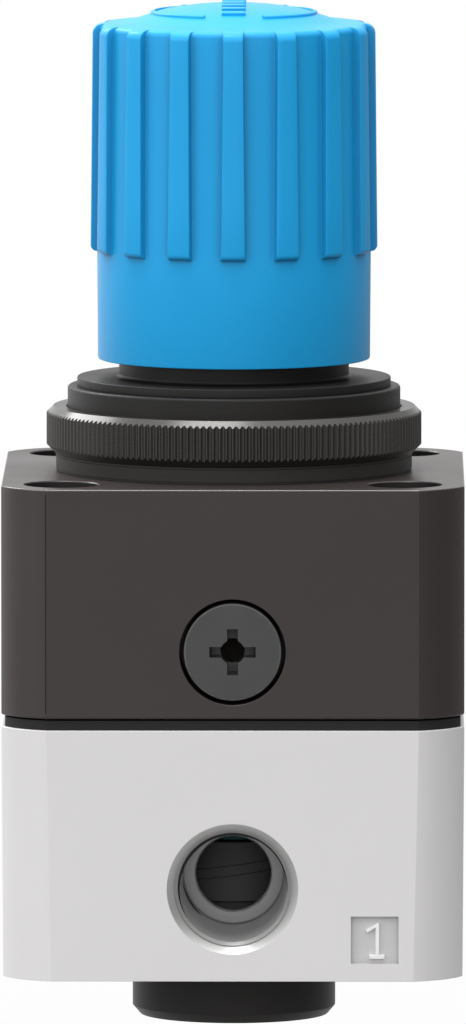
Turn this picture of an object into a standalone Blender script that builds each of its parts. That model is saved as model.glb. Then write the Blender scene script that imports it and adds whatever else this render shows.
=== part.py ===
"""Precision pressure regulator with a ribbed adjusting knob, a knurled panel nut and threaded ports.

Metres, +Z up. The origin is the centre of the bottom cap's underside, on the axis that the cap, the valve,
the diaphragms, the spindle and the knob share. Port 1 faces -Y and port 2 faces +Y.
"""

import math

import bmesh
import bpy
from mathutils import Matrix, Vector

# Clearances between pieces
SEAT_GAP = 0.00025
THREAD_GAP = 0.0003
RUNNING_GAP = 0.0003

# How far a cut reaches past the face that it opens
CUT_SPARE = 0.001

# Bottom cap
CAP_RADIUS = 0.01105
CAP_HEAD_HEIGHT = 0.00605
CAP_EDGE_HEIGHT = 0.00097
CAP_EDGE_WIDTH = 0.00083
CAP_SPIGOT_RADIUS = 0.0093
CAP_SPIGOT_HEIGHT = 0.0034
CAP_POCKET_DEPTH = 0.0025
CAP_SOCKET_FLATS = 0.010
CAP_SOCKET_DEPTH = 0.003
CAP_RING_WIRE = 0.00055

# Valve body of cast aluminium, a square block with round corners
BODY_SIDE = 0.050
BODY_HEIGHT = 0.0272
BODY_DRAFT = 0.00017
CORNER_DEPTH = 0.008
CORNER_BULGE = 0.00057
CORNER_DRAFT = 0.00035
EDGE_BREAK = 0.0002
VALVE_CHAMBER_RADIUS = 0.0082
VALVE_ROOF_HEIGHT = 0.0157
SEAT_RADIUS = 0.004
SEAT_LIP_WIDTH = 0.0008
SEAT_LIP_HEIGHT = 0.0007
CHAMBER_WALL = 0.009
OUTLET_CHAMBER_DEPTH = 0.0075

# Ports with a G1/4 thread, and the sunk square beside each for its number
PORT_HEIGHT = 0.0100
PORT_CORE_RADIUS = 0.005875
PORT_MOUTH_RADIUS = 0.0071
PORT_MOUTH_DEPTH = 0.0008
PORT_LAND_RADIUS = 0.0063
PORT_LAND_DEPTH = 0.00205
PORT_WALL = 0.0014
INLET_RADIUS = 0.0041
OUTLET_PASSAGE_RADIUS = 0.0026
NUMBER_SQUARE_SIDE = 0.00515
NUMBER_SQUARE_DEPTH = 0.0005
NUMBER_SQUARE_INSET = 0.00967
NUMBER_SQUARE_HEIGHT = 0.0045

# Gauge ports on the sides, closed by flush plugs
GAUGE_HOLE_RADIUS = 0.0049
GAUGE_HOLE_DEPTH = 0.012
GAUGE_DRILL_RADIUS = 0.0012
GAUGE_PLUG_LENGTH = 0.006
GAUGE_PLUG_SINK = 0.0003
GAUGE_SOCKET_FLATS = 0.005
GAUGE_SOCKET_DEPTH = 0.0025

# Main valve
GUIDE_RADIUS = 0.0074
GUIDE_BORE_RADIUS = 0.0045
GUIDE_CUP_RADIUS = 0.0062
GUIDE_CUP_DEPTH = 0.0029
VALVE_STROKE = 0.0012
PAD_THICKNESS = 0.0015
POPPET_RADIUS = 0.0058
POPPET_THICKNESS = 0.0012
POPPET_SKIRT_LENGTH = 0.0046
STEM_RADIUS = 0.0014
VALVE_WIRE = 0.00035
VALVE_SPRING_RADIUS = 0.0034
VALVE_SPRING_TURNS = 4.5

# Main diaphragm, the rubber sheet clamped between the housings
SHEET_THICKNESS = 0.00075
SHEET_INSET = 0.0004
FOLD_WIDTH = 0.0032
FOLD_DEPTH = 0.0012
FOLD_SHARES = (1.0, 0.5, -0.5, -1.0)
PISTON_LOWER_THICKNESS = 0.0016
PISTON_UPPER_THICKNESS = 0.0014
PISTON_HUB_RADIUS = 0.0035
PISTON_HUB_LENGTH = 0.0024
PISTON_STUD_RADIUS = 0.003
RELIEF_HOLE_RADIUS = 0.0007
PISTON_NUT_FLATS = 0.009
PISTON_NUT_THICKNESS = 0.002

# Upper housing
HOUSING_HEIGHT = 0.02483
HOUSING_DRAFT = 0.0001
CONTROL_CHAMBER_DEPTH = 0.00625
WEB_THICKNESS = 0.0045
BLEED_CHAMBER_RADIUS = 0.013
BLEED_CHAMBER_DEPTH = 0.0015
BLEED_DRILL_RADIUS = 0.001
COLLAR_RADIUS = 0.0181
COLLAR_BORE_RADIUS = 0.0155
COLLAR_HEIGHT = 0.00917
COLLAR_CHAMFER = 0.0003

# Housing screws, M4 with a socket head
SCREW_INSET = 0.0065
SCREW_RADIUS = 0.002
SCREW_LENGTH = 0.030
SCREW_HEAD_RADIUS = 0.0035
SCREW_HEAD_HEIGHT = 0.004
SCREW_SINK = 0.002
SCREW_WELL_RADIUS = 0.004
SCREW_SOCKET_FLATS = 0.003
SCREW_SOCKET_DEPTH = 0.002
SCREW_HOLE_SPARE = 0.0015

# Vent plug in the front of the upper housing
VENT_HEIGHT = 0.00725
VENT_HOLE_RADIUS = 0.00573
VENT_HOLE_DEPTH = 0.0068
VENT_PLUG_RADIUS = 0.0053
VENT_PLUG_LENGTH = 0.0043
VENT_PLUG_SINK = 0.0002
VENT_PLUG_CHAMFER = 0.0003
VENT_BLEED_RADIUS = 0.0014
VENT_CROSS_LENGTH = 0.005
VENT_CROSS_WIDTH = 0.0012
VENT_CROSS_DEPTH = 0.0021

# Pilot stage
NOZZLE_RADIUS = 0.002
NOZZLE_FLANGE_RADIUS = 0.0032
NOZZLE_FLANGE_THICKNESS = 0.0006
NOZZLE_TIP_RADIUS = 0.001
NOZZLE_BORE_RADIUS = 0.0005
NOZZLE_SHANK_LENGTH = 0.0038
NOZZLE_GAP = 0.000375
PILOT_SHEET_THICKNESS = 0.0007
PILOT_FOLD_DEPTH = 0.0007
PILOT_PLATE_RADIUS = 0.0112
PILOT_PLATE_THICKNESS = 0.0018
PILOT_BOSS_HEIGHT = 0.002
CLAMP_RING_WALL = 0.0022
CLAMP_RING_HEIGHT = 0.0028

# Bonnet, which screws into the collar and reaches up into the knob
FLANGE_RADIUS = 0.01706
FLANGE_THICKNESS = 0.0007
NECK_RADIUS = 0.0125
NECK_FILLET = 0.0006
NECK_FILLET_STEPS = 2
NECK_HEIGHT = 0.0029
TOWER_RADIUS = 0.0118
TOWER_HEIGHT = 0.0234
TOWER_CHAMFER = 0.0005
BONNET_ROOF = 0.003
SPRING_BORE_RADIUS = 0.0099
SKIRT_BORE_RADIUS = 0.0126
SKIRT_BORE_HEIGHT = 0.01275
EAR_LENGTH = 0.0010
EAR_WIDTH = 0.0026
EAR_GROOVE_SPARE = 0.002

# Setting spring and its spindle, a left-hand M10 x 1.5 thread
SETTING_WIRE = 0.0011
SETTING_SPRING_RADIUS = 0.0080
SETTING_SPRING_LENGTH = 0.0320
SETTING_SPRING_TURNS = 7.5
CLOSED_TURN_GAP = 0.15
SPRING_NUT_RADIUS = 0.0096
SPRING_NUT_THICKNESS = 0.0025
SPRING_NUT_HUB_LENGTH = 0.006
SPINDLE_THREAD_RADIUS = 0.005
SPINDLE_THREAD_LENGTH = 0.0219
SPINDLE_CHAMFER = 0.0006
SPINDLE_COLLAR_RADIUS = 0.0072
SPINDLE_COLLAR_THICKNESS = 0.0016
THRUST_WASHER_RADIUS = 0.008
THRUST_WASHER_THICKNESS = 0.001
JOURNAL_RADIUS = 0.004
CIRCLIP_THICKNESS = 0.0009
CIRCLIP_GROOVE = 0.0008
CIRCLIP_RADIUS = 0.0062
DRIVE_FLATS = 0.0064
DRIVE_LENGTH = 0.0061

# Lock ring on the bonnet, which the knob's lugs drop into when it is pushed down
LOCK_TEETH = 24
LOCK_ROOT_RADIUS = 0.0125
LOCK_TIP_RADIUS = 0.0132
LOCK_HEIGHT = 0.002
LOCK_TOOTH_SHARE = 0.36
LUG_COUNT = 8
LUG_LENGTH = 0.00075
LUG_WIDTH = 0.0009
LUG_HEIGHT = 0.002

# Knob
KNOB_GAP = 0.00196
KNOB_HEIGHT = 0.03874
KNOB_RADIUS = 0.01480
KNOB_RADIUS_AT_RIBS = 0.01488
KNOB_RADIUS_AT_SHOULDER = 0.01455
KNOB_BORE_RADIUS = 0.0135
KNOB_TOP_BORE_RADIUS = 0.0130
KNOB_ROOF = 0.0034
KNOB_PUSH = 0.0015
KNOB_HUB_RADIUS = 0.0066
KNOB_SOCKET_SPARE = 0.0004
RIB_COUNT = 16
RIB_START = 0.01179
RIB_RADIUS = 0.0156
RIB_RADIUS_AT_SHOULDER = 0.01535
RIB_WIDTH = 0.00264
RIB_WIDTH_AT_SHOULDER = 0.0022
RIB_FOOT_SPREAD = 1.1
RIB_END_ROUND = 0.0007
RIB_END_STEP = 0.000175
RIB_END_DROP = 0.00028
SHOULDER_DROP = 0.0044
DOME_RADIUS = 0.0139
CROWN_SPHERE_RADIUS = 0.034
RIM_LIFT = 0.0007
SHOULDER_SHARES = (0.4, 0.75, 1.0)
DOME_RINGS = ((0.78, 2), (0.4, 4))

# Panel nut, M36 x 1.5, and its washer
WASHER_THICKNESS = 0.00132
WASHER_RADIUS = 0.01939
NUT_HEIGHT = 0.00512
NUT_RADIUS = 0.0204
NUT_FOOT_RADIUS = 0.01945
NUT_CROWN_RADIUS = 0.0192
NUT_CROWN_HEIGHT = 0.00057
KNURL_COUNT = 120
KNURL_DEPTH = 0.0003

# How finely round forms are divided
ROUND_STEPS = 48
BONNET_STEPS = 28
PORT_STEPS = 28
BORE_STEPS = 24
INNER_STEPS = 18
HOLE_STEPS = 12
FLAT_STEPS = 4
CORNER_STEPS = 3
RING_SIDES = 6
WIRE_SIDES = 5
WIRE_STEPS = 9
NUT_STEPS = 40
SMOOTH_ANGLE = math.radians(32)

# Heights of the stack, each worked out from the piece below it
BODY_Z = CAP_HEAD_HEIGHT + SEAT_GAP
BODY_TOP_Z = BODY_Z + BODY_HEIGHT
SHEET_Z = BODY_TOP_Z + SEAT_GAP
HOUSING_Z = SHEET_Z + SHEET_THICKNESS + SEAT_GAP
HOUSING_TOP_Z = HOUSING_Z + HOUSING_HEIGHT
COLLAR_TOP_Z = HOUSING_TOP_Z + COLLAR_HEIGHT
FLANGE_Z = COLLAR_TOP_Z + SEAT_GAP
FLANGE_TOP_Z = FLANGE_Z + FLANGE_THICKNESS
NECK_TOP_Z = FLANGE_TOP_Z + NECK_HEIGHT
TOWER_TOP_Z = NECK_TOP_Z + TOWER_HEIGHT
KNOB_Z = FLANGE_TOP_Z + KNOB_GAP
WASHER_Z = HOUSING_TOP_Z + SEAT_GAP
NUT_Z = WASHER_Z + WASHER_THICKNESS + SEAT_GAP

# Heights inside the valve body
SPIGOT_TOP_Z = CAP_HEAD_HEIGHT + CAP_SPIGOT_HEIGHT
GUIDE_Z = SPIGOT_TOP_Z + SEAT_GAP
VALVE_ROOF_Z = BODY_Z + VALVE_ROOF_HEIGHT
SEAT_Z = VALVE_ROOF_Z - SEAT_LIP_HEIGHT
OUTLET_CHAMBER_Z = BODY_TOP_Z - OUTLET_CHAMBER_DEPTH
PORT_Z = BODY_Z + PORT_HEIGHT
PAD_Z = SEAT_Z - SEAT_GAP - PAD_THICKNESS
POPPET_Z = PAD_Z - SEAT_GAP - POPPET_THICKNESS
SKIRT_Z = POPPET_Z - POPPET_SKIRT_LENGTH
GUIDE_CUP_Z = POPPET_Z - VALVE_STROKE - THREAD_GAP
PISTON_Z = BODY_TOP_Z - PISTON_LOWER_THICKNESS
PISTON_HUB_Z = PISTON_Z - PISTON_HUB_LENGTH
STEM_TOP_Z = PISTON_HUB_Z - SEAT_GAP

# Heights inside the upper housing
WEB_Z = HOUSING_Z + CONTROL_CHAMBER_DEPTH
WEB_TOP_Z = WEB_Z + WEB_THICKNESS
LEDGE_Z = WEB_TOP_Z + BLEED_CHAMBER_DEPTH
PILOT_SHEET_Z = LEDGE_Z + SEAT_GAP
PILOT_PLATE_Z = PILOT_SHEET_Z + PILOT_SHEET_THICKNESS + SEAT_GAP
BONNET_Z = PILOT_PLATE_Z + CLAMP_RING_HEIGHT + SEAT_GAP
SETTING_SPRING_Z = PILOT_PLATE_Z + PILOT_PLATE_THICKNESS + SEAT_GAP
SPRING_NUT_Z = SETTING_SPRING_Z + SETTING_SPRING_LENGTH + SEAT_GAP
ROOF_Z = TOWER_TOP_Z - BONNET_ROOF
THRUST_WASHER_Z = ROOF_Z - SEAT_GAP - THRUST_WASHER_THICKNESS
SPINDLE_COLLAR_Z = THRUST_WASHER_Z - SEAT_GAP - SPINDLE_COLLAR_THICKNESS
SPINDLE_Z = SPINDLE_COLLAR_Z - SPINDLE_THREAD_LENGTH
CIRCLIP_Z = TOWER_TOP_Z + SEAT_GAP
DRIVE_Z = CIRCLIP_Z + CIRCLIP_THICKNESS + 2 * SEAT_GAP
DRIVE_TOP_Z = DRIVE_Z + DRIVE_LENGTH
VENT_Z = HOUSING_Z + VENT_HEIGHT

# Widths that follow from their neighbours
HALF_SIDE = BODY_SIDE / 2
CORNER_CENTRE = HALF_SIDE - CORNER_DEPTH
CORNER_RADIUS = CORNER_DEPTH + CORNER_BULGE
SCREW_SPREAD = HALF_SIDE - SCREW_INSET
CHAMBER_RADIUS = HALF_SIDE - CHAMBER_WALL
PISTON_RADIUS = CHAMBER_RADIUS - FOLD_WIDTH
PORT_DEPTH = HALF_SIDE - VALVE_CHAMBER_RADIUS - PORT_WALL
NUMBER_SQUARE_OFFSET = HALF_SIDE - NUMBER_SQUARE_INSET
CAP_BORE_RADIUS = CAP_SPIGOT_RADIUS + THREAD_GAP
SLEEVE_RADIUS = COLLAR_BORE_RADIUS - THREAD_GAP
SPRING_INSIDE_RADIUS = SETTING_SPRING_RADIUS - SETTING_WIRE - THREAD_GAP

# Colour, roughness and metallic value of each finish
FINISHES = {
    "knob_blue": ((0.030, 0.330, 0.720), 0.42, 0.0),
    "housing_black": ((0.055, 0.048, 0.046), 0.45, 0.0),
    "black_plastic": ((0.030, 0.029, 0.029), 0.48, 0.0),
    "black_metal": ((0.030, 0.028, 0.026), 0.38, 0.6),
    "body_aluminium": ((0.630, 0.620, 0.625), 0.45, 0.6),
    "steel": ((0.560, 0.570, 0.580), 0.30, 1.0),
    "brass": ((0.700, 0.500, 0.220), 0.32, 1.0),
    "bronze": ((0.420, 0.300, 0.160), 0.70, 0.6),
    "rubber": ((0.020, 0.020, 0.021), 0.70, 0.0),
    "teal_seal": ((0.020, 0.140, 0.150), 0.60, 0.0),
}


def clear_scene():
    for old in list(bpy.data.objects):
        bpy.data.objects.remove(old, do_unlink=True)


def finish(name):
    """The named finish as a material, made once."""
    material = bpy.data.materials.get(name)
    if material:
        return material
    colour, roughness, metallic = FINISHES[name]
    material = bpy.data.materials.new(name)
    material.use_nodes = True
    shader = material.node_tree.nodes["Principled BSDF"]
    shader.inputs["Base Color"].default_value = (*colour, 1.0)
    shader.inputs["Roughness"].default_value = roughness
    shader.inputs["Metallic"].default_value = metallic
    material.diffuse_color = (*colour, 1.0)
    return material


def solid(name, mesh, finish_name, location=(0, 0, 0)):
    """An object from a closed bmesh, with its faces turned outwards."""
    bmesh.ops.recalc_face_normals(mesh, faces=mesh.faces)
    data = bpy.data.meshes.new(name)
    mesh.to_mesh(data)
    mesh.free()
    data.shade_smooth()
    data.set_sharp_from_angle(angle=SMOOTH_ANGLE)
    data.materials.append(finish(finish_name))
    made = bpy.data.objects.new(name, data)
    made.location = location
    bpy.context.collection.objects.link(made)
    return made


def cutter(name, mesh, location=(0, 0, 0)):
    """A helper that only a Boolean uses."""
    made = solid(name, mesh, "steel", location)
    made.hide_render = True
    made.display_type = "WIRE"
    return made


def combine(piece, helper, operation="DIFFERENCE"):
    modifier = piece.modifiers.new(helper.name, "BOOLEAN")
    modifier.operation = operation
    modifier.solver = "EXACT"
    modifier.object = helper


def circle(radius, z, steps):
    """Points of a circle about the axis, or its centre alone where the radius is nothing."""
    if radius == 0:
        return [Vector((0, 0, z))]
    turn = 2 * math.pi / steps
    return [Vector((radius * math.cos(i * turn), radius * math.sin(i * turn), z)) for i in range(steps)]


def hexagon(flats, z, steps):
    """Points along a regular hexagon, as many on each side, starting where circle() starts."""
    corner = flats / math.sqrt(3)
    corners = circle(corner, z, 6)
    per_side = steps // 6
    points = []
    for i in range(6):
        for j in range(per_side):
            points.append(corners[i].lerp(corners[(i + 1) % 6], j / per_side))
    return points


def block_outline(half_side, corner_radius, z, flat_steps=1):
    """A square whose round corners meet its sides at a slight edge, from the lower end of the +X side on."""
    reach = half_side - CORNER_CENTRE
    rise = math.sqrt(corner_radius**2 - reach**2)
    flat_angle = math.atan2(CORNER_CENTRE + rise, half_side)
    first = math.atan2(rise, reach)
    last = math.pi / 2 - first
    quarter = []
    for i in range(flat_steps):
        quarter.append(Vector((half_side, half_side * math.tan(flat_angle * (2 * i / flat_steps - 1)), z)))
    for i in range(CORNER_STEPS):
        angle = first + (last - first) * i / CORNER_STEPS
        x = CORNER_CENTRE + corner_radius * math.cos(angle)
        y = CORNER_CENTRE + corner_radius * math.sin(angle)
        quarter.append(Vector((x, y, z)))
    points = []
    for side in range(4):
        turn = Matrix.Rotation(side * math.pi / 2, 4, "Z")
        points.extend(turn @ point for point in quarter)
    return points


def circle_in_block(radius, z):
    """A circle whose points lie at the angles of the points of a block outline with divided sides."""
    outline = block_outline(HALF_SIDE, CORNER_RADIUS, 0, FLAT_STEPS)
    return [point.normalized() * radius + Vector((0, 0, z)) for point in outline]


def bridge(mesh, first, second):
    """Faces between two rings. One ring may have a whole multiple of the other's points."""
    if len(first) < len(second):
        first, second = second, first
    count = len(second)
    ratio = len(first) // count
    for i in range(count):
        near = second[i]
        far = second[(i + 1) % count]
        run = [first[(ratio * i + j) % len(first)] for j in range(ratio + 1)]
        if ratio == 1:
            mesh.faces.new((near, far, run[1], run[0]))
            continue
        for j in range(ratio):
            mesh.faces.new((near, run[j + 1], run[j]))
        if count > 1:
            mesh.faces.new((near, far, run[-1]))


def fan(mesh, ring):
    """Closes a ring with one flat face."""
    if len(ring) > 1:
        mesh.faces.new(ring)


def loft(rings, closed=False):
    """A closed solid through rings of points. closed joins the last ring to the first, and caps nothing."""
    mesh = bmesh.new()
    made = [[mesh.verts.new(point) for point in ring] for ring in rings]
    for i in range(len(made) - 1):
        bridge(mesh, made[i], made[i + 1])
    if closed:
        bridge(mesh, made[-1], made[0])
    else:
        fan(mesh, made[0])
        fan(mesh, made[-1])
    return mesh


def turned(profile, steps=INNER_STEPS, closed=False):
    """A turned solid from its outline as (radius, height) points. closed is for one with a bore."""
    return loft([circle(radius, z, steps) for radius, z in profile], closed)


def ring_solid(inside, outside, z, height, steps=INNER_STEPS):
    """A plain washer or sleeve."""
    profile = [(inside, z), (outside, z), (outside, z + height), (inside, z + height)]
    return turned(profile, steps, closed=True)


def torus(radius, wire, z):
    """A sealing ring of round section."""
    rings = []
    for i in range(RING_SIDES):
        angle = 2 * math.pi * (i + 0.5) / RING_SIDES
        rings.append(circle(radius + wire * math.cos(angle), z + wire * math.sin(angle), INNER_STEPS))
    return loft(rings, closed=True)


def coil_height(share, turns, length, wire):
    """Height of the wire's centre along a spring whose first and last turns lie closed."""
    closed_rise = (2 + CLOSED_TURN_GAP) * wire
    along = share * turns
    open_rise = (length - 2 * wire - 2 * closed_rise) / (turns - 2)
    if along < 1:
        return wire + closed_rise * along
    if along > turns - 1:
        return length - wire - closed_rise * (turns - along)
    return wire + closed_rise + open_rise * (along - 1)


def spring(radius, wire, length, turns):
    """A coil of round wire with cut ends, standing on z = 0."""
    steps = round(turns * WIRE_STEPS)
    rings = []
    for i in range(steps + 1):
        share = i / steps
        angle = 2 * math.pi * turns * share
        outwards = Vector((math.cos(angle), math.sin(angle), 0))
        centre = outwards * radius + Vector((0, 0, coil_height(share, turns, length, wire)))
        section = []
        for j in range(WIRE_SIDES):
            around = 2 * math.pi * j / WIRE_SIDES
            section.append(centre + wire * (outwards * math.cos(around) + Vector((0, 0, math.sin(around)))))
        rings.append(section)
    return loft(rings)


def box(low, high):
    """A plain block between two corners."""
    size = Vector(high) - Vector(low)
    centre = (Vector(high) + Vector(low)) / 2
    mesh = bmesh.new()
    bmesh.ops.create_cube(mesh, size=1.0, matrix=Matrix.Translation(centre) @ Matrix.Diagonal((*size, 1.0)))
    return mesh


def merged(meshes):
    """Several closed forms in one bmesh."""
    whole = bmesh.new()
    for mesh in meshes:
        data = bpy.data.meshes.new("joined")
        mesh.to_mesh(data)
        mesh.free()
        whole.from_mesh(data)
        bpy.data.meshes.remove(data)
    return whole


def moved(mesh, matrix):
    bmesh.ops.transform(mesh, matrix=matrix, verts=mesh.verts)
    return mesh


def facing(direction, depth_face, z):
    """Turns a form made along +Z so that +Z becomes a side's outward direction, with z = 0 on that side."""
    outwards = Vector(direction)
    turn = Vector((0, 0, 1)).rotation_difference(outwards).to_matrix().to_4x4()
    return Matrix.Translation(outwards * depth_face + Vector((0, 0, z))) @ turn


def body_half_side(z):
    """Half of the valve body's width at a height, with its draft."""
    return HALF_SIDE - BODY_DRAFT * (BODY_TOP_Z - z) / BODY_HEIGHT


def body_corner_radius(z):
    return CORNER_RADIUS - CORNER_DRAFT * (BODY_TOP_Z - z) / BODY_HEIGHT


def screw_places():
    for x in (-SCREW_SPREAD, SCREW_SPREAD):
        for y in (-SCREW_SPREAD, SCREW_SPREAD):
            yield Vector((x, y, 0))


def four_holes(radius, low, high):
    """Cylinders where the four housing screws pass."""
    holes = []
    for place in screw_places():
        hole = turned([(radius, low), (radius, high)], HOLE_STEPS)
        holes.append(moved(hole, Matrix.Translation(place)))
    return merged(holes)


def port_cutter(inner_radius, inner_depth):
    """The threaded port as a form along +Z, whose z = 0 is the body's face."""
    profile = [
        (PORT_MOUTH_RADIUS, PORT_MOUTH_DEPTH),
        (PORT_MOUTH_RADIUS, 0),
        (PORT_LAND_RADIUS, -PORT_MOUTH_DEPTH),
        (PORT_LAND_RADIUS, -PORT_LAND_DEPTH + (PORT_LAND_RADIUS - PORT_CORE_RADIUS)),
        (PORT_CORE_RADIUS, -PORT_LAND_DEPTH),
        (PORT_CORE_RADIUS, -PORT_DEPTH),
    ]
    if inner_radius:
        profile += [(inner_radius, -PORT_DEPTH), (inner_radius, -inner_depth)]
    return turned(profile, PORT_STEPS)


def make_bottom_cap():
    groove_width = 2 * (CAP_RING_WIRE + SEAT_GAP)
    groove_z = CAP_HEAD_HEIGHT + (CAP_SPIGOT_HEIGHT - groove_width) / 2
    ring_radius = CAP_BORE_RADIUS - SEAT_GAP - CAP_RING_WIRE
    groove_radius = ring_radius - CAP_RING_WIRE - SEAT_GAP
    pocket_radius = VALVE_SPRING_RADIUS + VALVE_WIRE + 2 * RUNNING_GAP
    pocket_z = SPIGOT_TOP_Z - CAP_POCKET_DEPTH
    profile = [
        (0, 0),
        (CAP_RADIUS - CAP_EDGE_WIDTH, 0),
        (CAP_RADIUS, CAP_EDGE_HEIGHT),
        (CAP_RADIUS, CAP_HEAD_HEIGHT),
        (CAP_SPIGOT_RADIUS, CAP_HEAD_HEIGHT),
        (CAP_SPIGOT_RADIUS, groove_z),
        (groove_radius, groove_z),
        (groove_radius, groove_z + groove_width),
        (CAP_SPIGOT_RADIUS, groove_z + groove_width),
        (CAP_SPIGOT_RADIUS, SPIGOT_TOP_Z),
        (pocket_radius, SPIGOT_TOP_Z),
        (pocket_radius, pocket_z),
        (0, pocket_z),
    ]
    cap = solid("bottom_cap", turned(profile, BONNET_STEPS), "black_metal")
    socket = loft([hexagon(CAP_SOCKET_FLATS, z, 6) for z in (-CAP_SOCKET_DEPTH, CAP_SOCKET_DEPTH)])
    combine(cap, cutter("cap_socket", socket))
    solid("cap_o_ring", torus(ring_radius, CAP_RING_WIRE, groove_z + groove_width / 2), "rubber")
    return pocket_z


def make_lower_body():
    """The casting, its axial bores as one turned cut, then the holes that cross it."""
    levels = (
        (BODY_Z, EDGE_BREAK),
        (BODY_Z + EDGE_BREAK, 0),
        (BODY_TOP_Z - EDGE_BREAK, 0),
        (BODY_TOP_Z, EDGE_BREAK),
    )
    outline = []
    for z, inset in levels:
        outline.append(block_outline(body_half_side(z) - inset, body_corner_radius(z) - inset, z))
    body = solid("lower_body", loft(outline), "body_aluminium")
    bores = [
        (0, BODY_TOP_Z + CUT_SPARE),
        (CHAMBER_RADIUS, BODY_TOP_Z + CUT_SPARE),
        (CHAMBER_RADIUS, OUTLET_CHAMBER_Z),
        (SEAT_RADIUS, OUTLET_CHAMBER_Z),
        (SEAT_RADIUS, SEAT_Z),
        (SEAT_RADIUS + SEAT_LIP_WIDTH, SEAT_Z),
        (SEAT_RADIUS + SEAT_LIP_WIDTH, VALVE_ROOF_Z),
        (VALVE_CHAMBER_RADIUS, VALVE_ROOF_Z),
        (VALVE_CHAMBER_RADIUS, GUIDE_Z),
        (CAP_BORE_RADIUS, GUIDE_Z),
        (CAP_BORE_RADIUS, BODY_Z - CUT_SPARE),
        (0, BODY_Z - CUT_SPARE),
    ]
    combine(body, cutter("body_bores", turned(bores, BORE_STEPS)))

    face = body_half_side(PORT_Z)
    inlet = port_cutter(INLET_RADIUS, face - VALVE_CHAMBER_RADIUS + CUT_SPARE)
    combine(body, cutter("inlet_port", moved(inlet, facing((0, -1, 0), face, PORT_Z))))
    outlet = port_cutter(0, 0)
    combine(body, cutter("outlet_port", moved(outlet, facing((0, 1, 0), face, PORT_Z))))
    passage_y = face - PORT_DEPTH + OUTLET_PASSAGE_RADIUS + SEAT_GAP
    passage_top = OUTLET_CHAMBER_Z + CUT_SPARE
    passage = turned([(OUTLET_PASSAGE_RADIUS, PORT_Z), (OUTLET_PASSAGE_RADIUS, passage_top)], HOLE_STEPS)
    combine(body, cutter("outlet_passage", passage, (0, passage_y, 0)))

    screw_end = HOUSING_TOP_Z - SCREW_SINK - SCREW_HEAD_HEIGHT - SCREW_LENGTH
    holes = four_holes(SCREW_RADIUS + THREAD_GAP, screw_end - SCREW_HOLE_SPARE, BODY_TOP_Z + CUT_SPARE)
    combine(body, cutter("body_screw_holes", holes))

    gauge_holes = []
    gauge_drills = []
    for side in (-1, 1):
        hole = turned([(GAUGE_HOLE_RADIUS, -GAUGE_HOLE_DEPTH), (GAUGE_HOLE_RADIUS, CUT_SPARE)], BORE_STEPS)
        gauge_holes.append(moved(hole, facing((side, 0, 0), face, PORT_Z)))
        drill = turned([(GAUGE_DRILL_RADIUS, PORT_Z), (GAUGE_DRILL_RADIUS, passage_top)], HOLE_STEPS)
        drill_x = face - GAUGE_HOLE_DEPTH + GAUGE_DRILL_RADIUS + SEAT_GAP
        gauge_drills.append(moved(drill, Matrix.Translation((side * drill_x, 0, 0))))
    combine(body, cutter("gauge_holes", merged(gauge_holes)))
    combine(body, cutter("gauge_drills", merged(gauge_drills)))

    squares = []
    number_z = BODY_Z + NUMBER_SQUARE_HEIGHT
    half = NUMBER_SQUARE_SIDE / 2
    floor_y = body_half_side(number_z) - NUMBER_SQUARE_DEPTH
    past_y = HALF_SIDE + CUT_SPARE
    for side in (-1, 1):
        centre_x = -side * NUMBER_SQUARE_OFFSET
        near = (centre_x - half, min(side * floor_y, side * past_y), number_z - half)
        far = (centre_x + half, max(side * floor_y, side * past_y), number_z + half)
        squares.append(box(near, far))
    combine(body, cutter("number_squares", merged(squares)))


def make_gauge_plugs():
    face = body_half_side(PORT_Z) - GAUGE_PLUG_SINK
    radius = GAUGE_HOLE_RADIUS - THREAD_GAP
    for name, side in (("gauge_plug_left", -1), ("gauge_plug_right", 1)):
        profile = [
            (0, -GAUGE_PLUG_LENGTH),
            (radius, -GAUGE_PLUG_LENGTH),
            (radius, -EDGE_BREAK),
            (radius - EDGE_BREAK, 0),
            (0, 0),
        ]
        place = facing((side, 0, 0), face, PORT_Z)
        plug = solid(name, moved(turned(profile, INNER_STEPS), place), "steel")
        socket = loft([hexagon(GAUGE_SOCKET_FLATS, z, 6) for z in (-GAUGE_SOCKET_DEPTH, GAUGE_SOCKET_DEPTH)])
        combine(plug, cutter(name + "_socket", moved(socket, place)))


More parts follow.
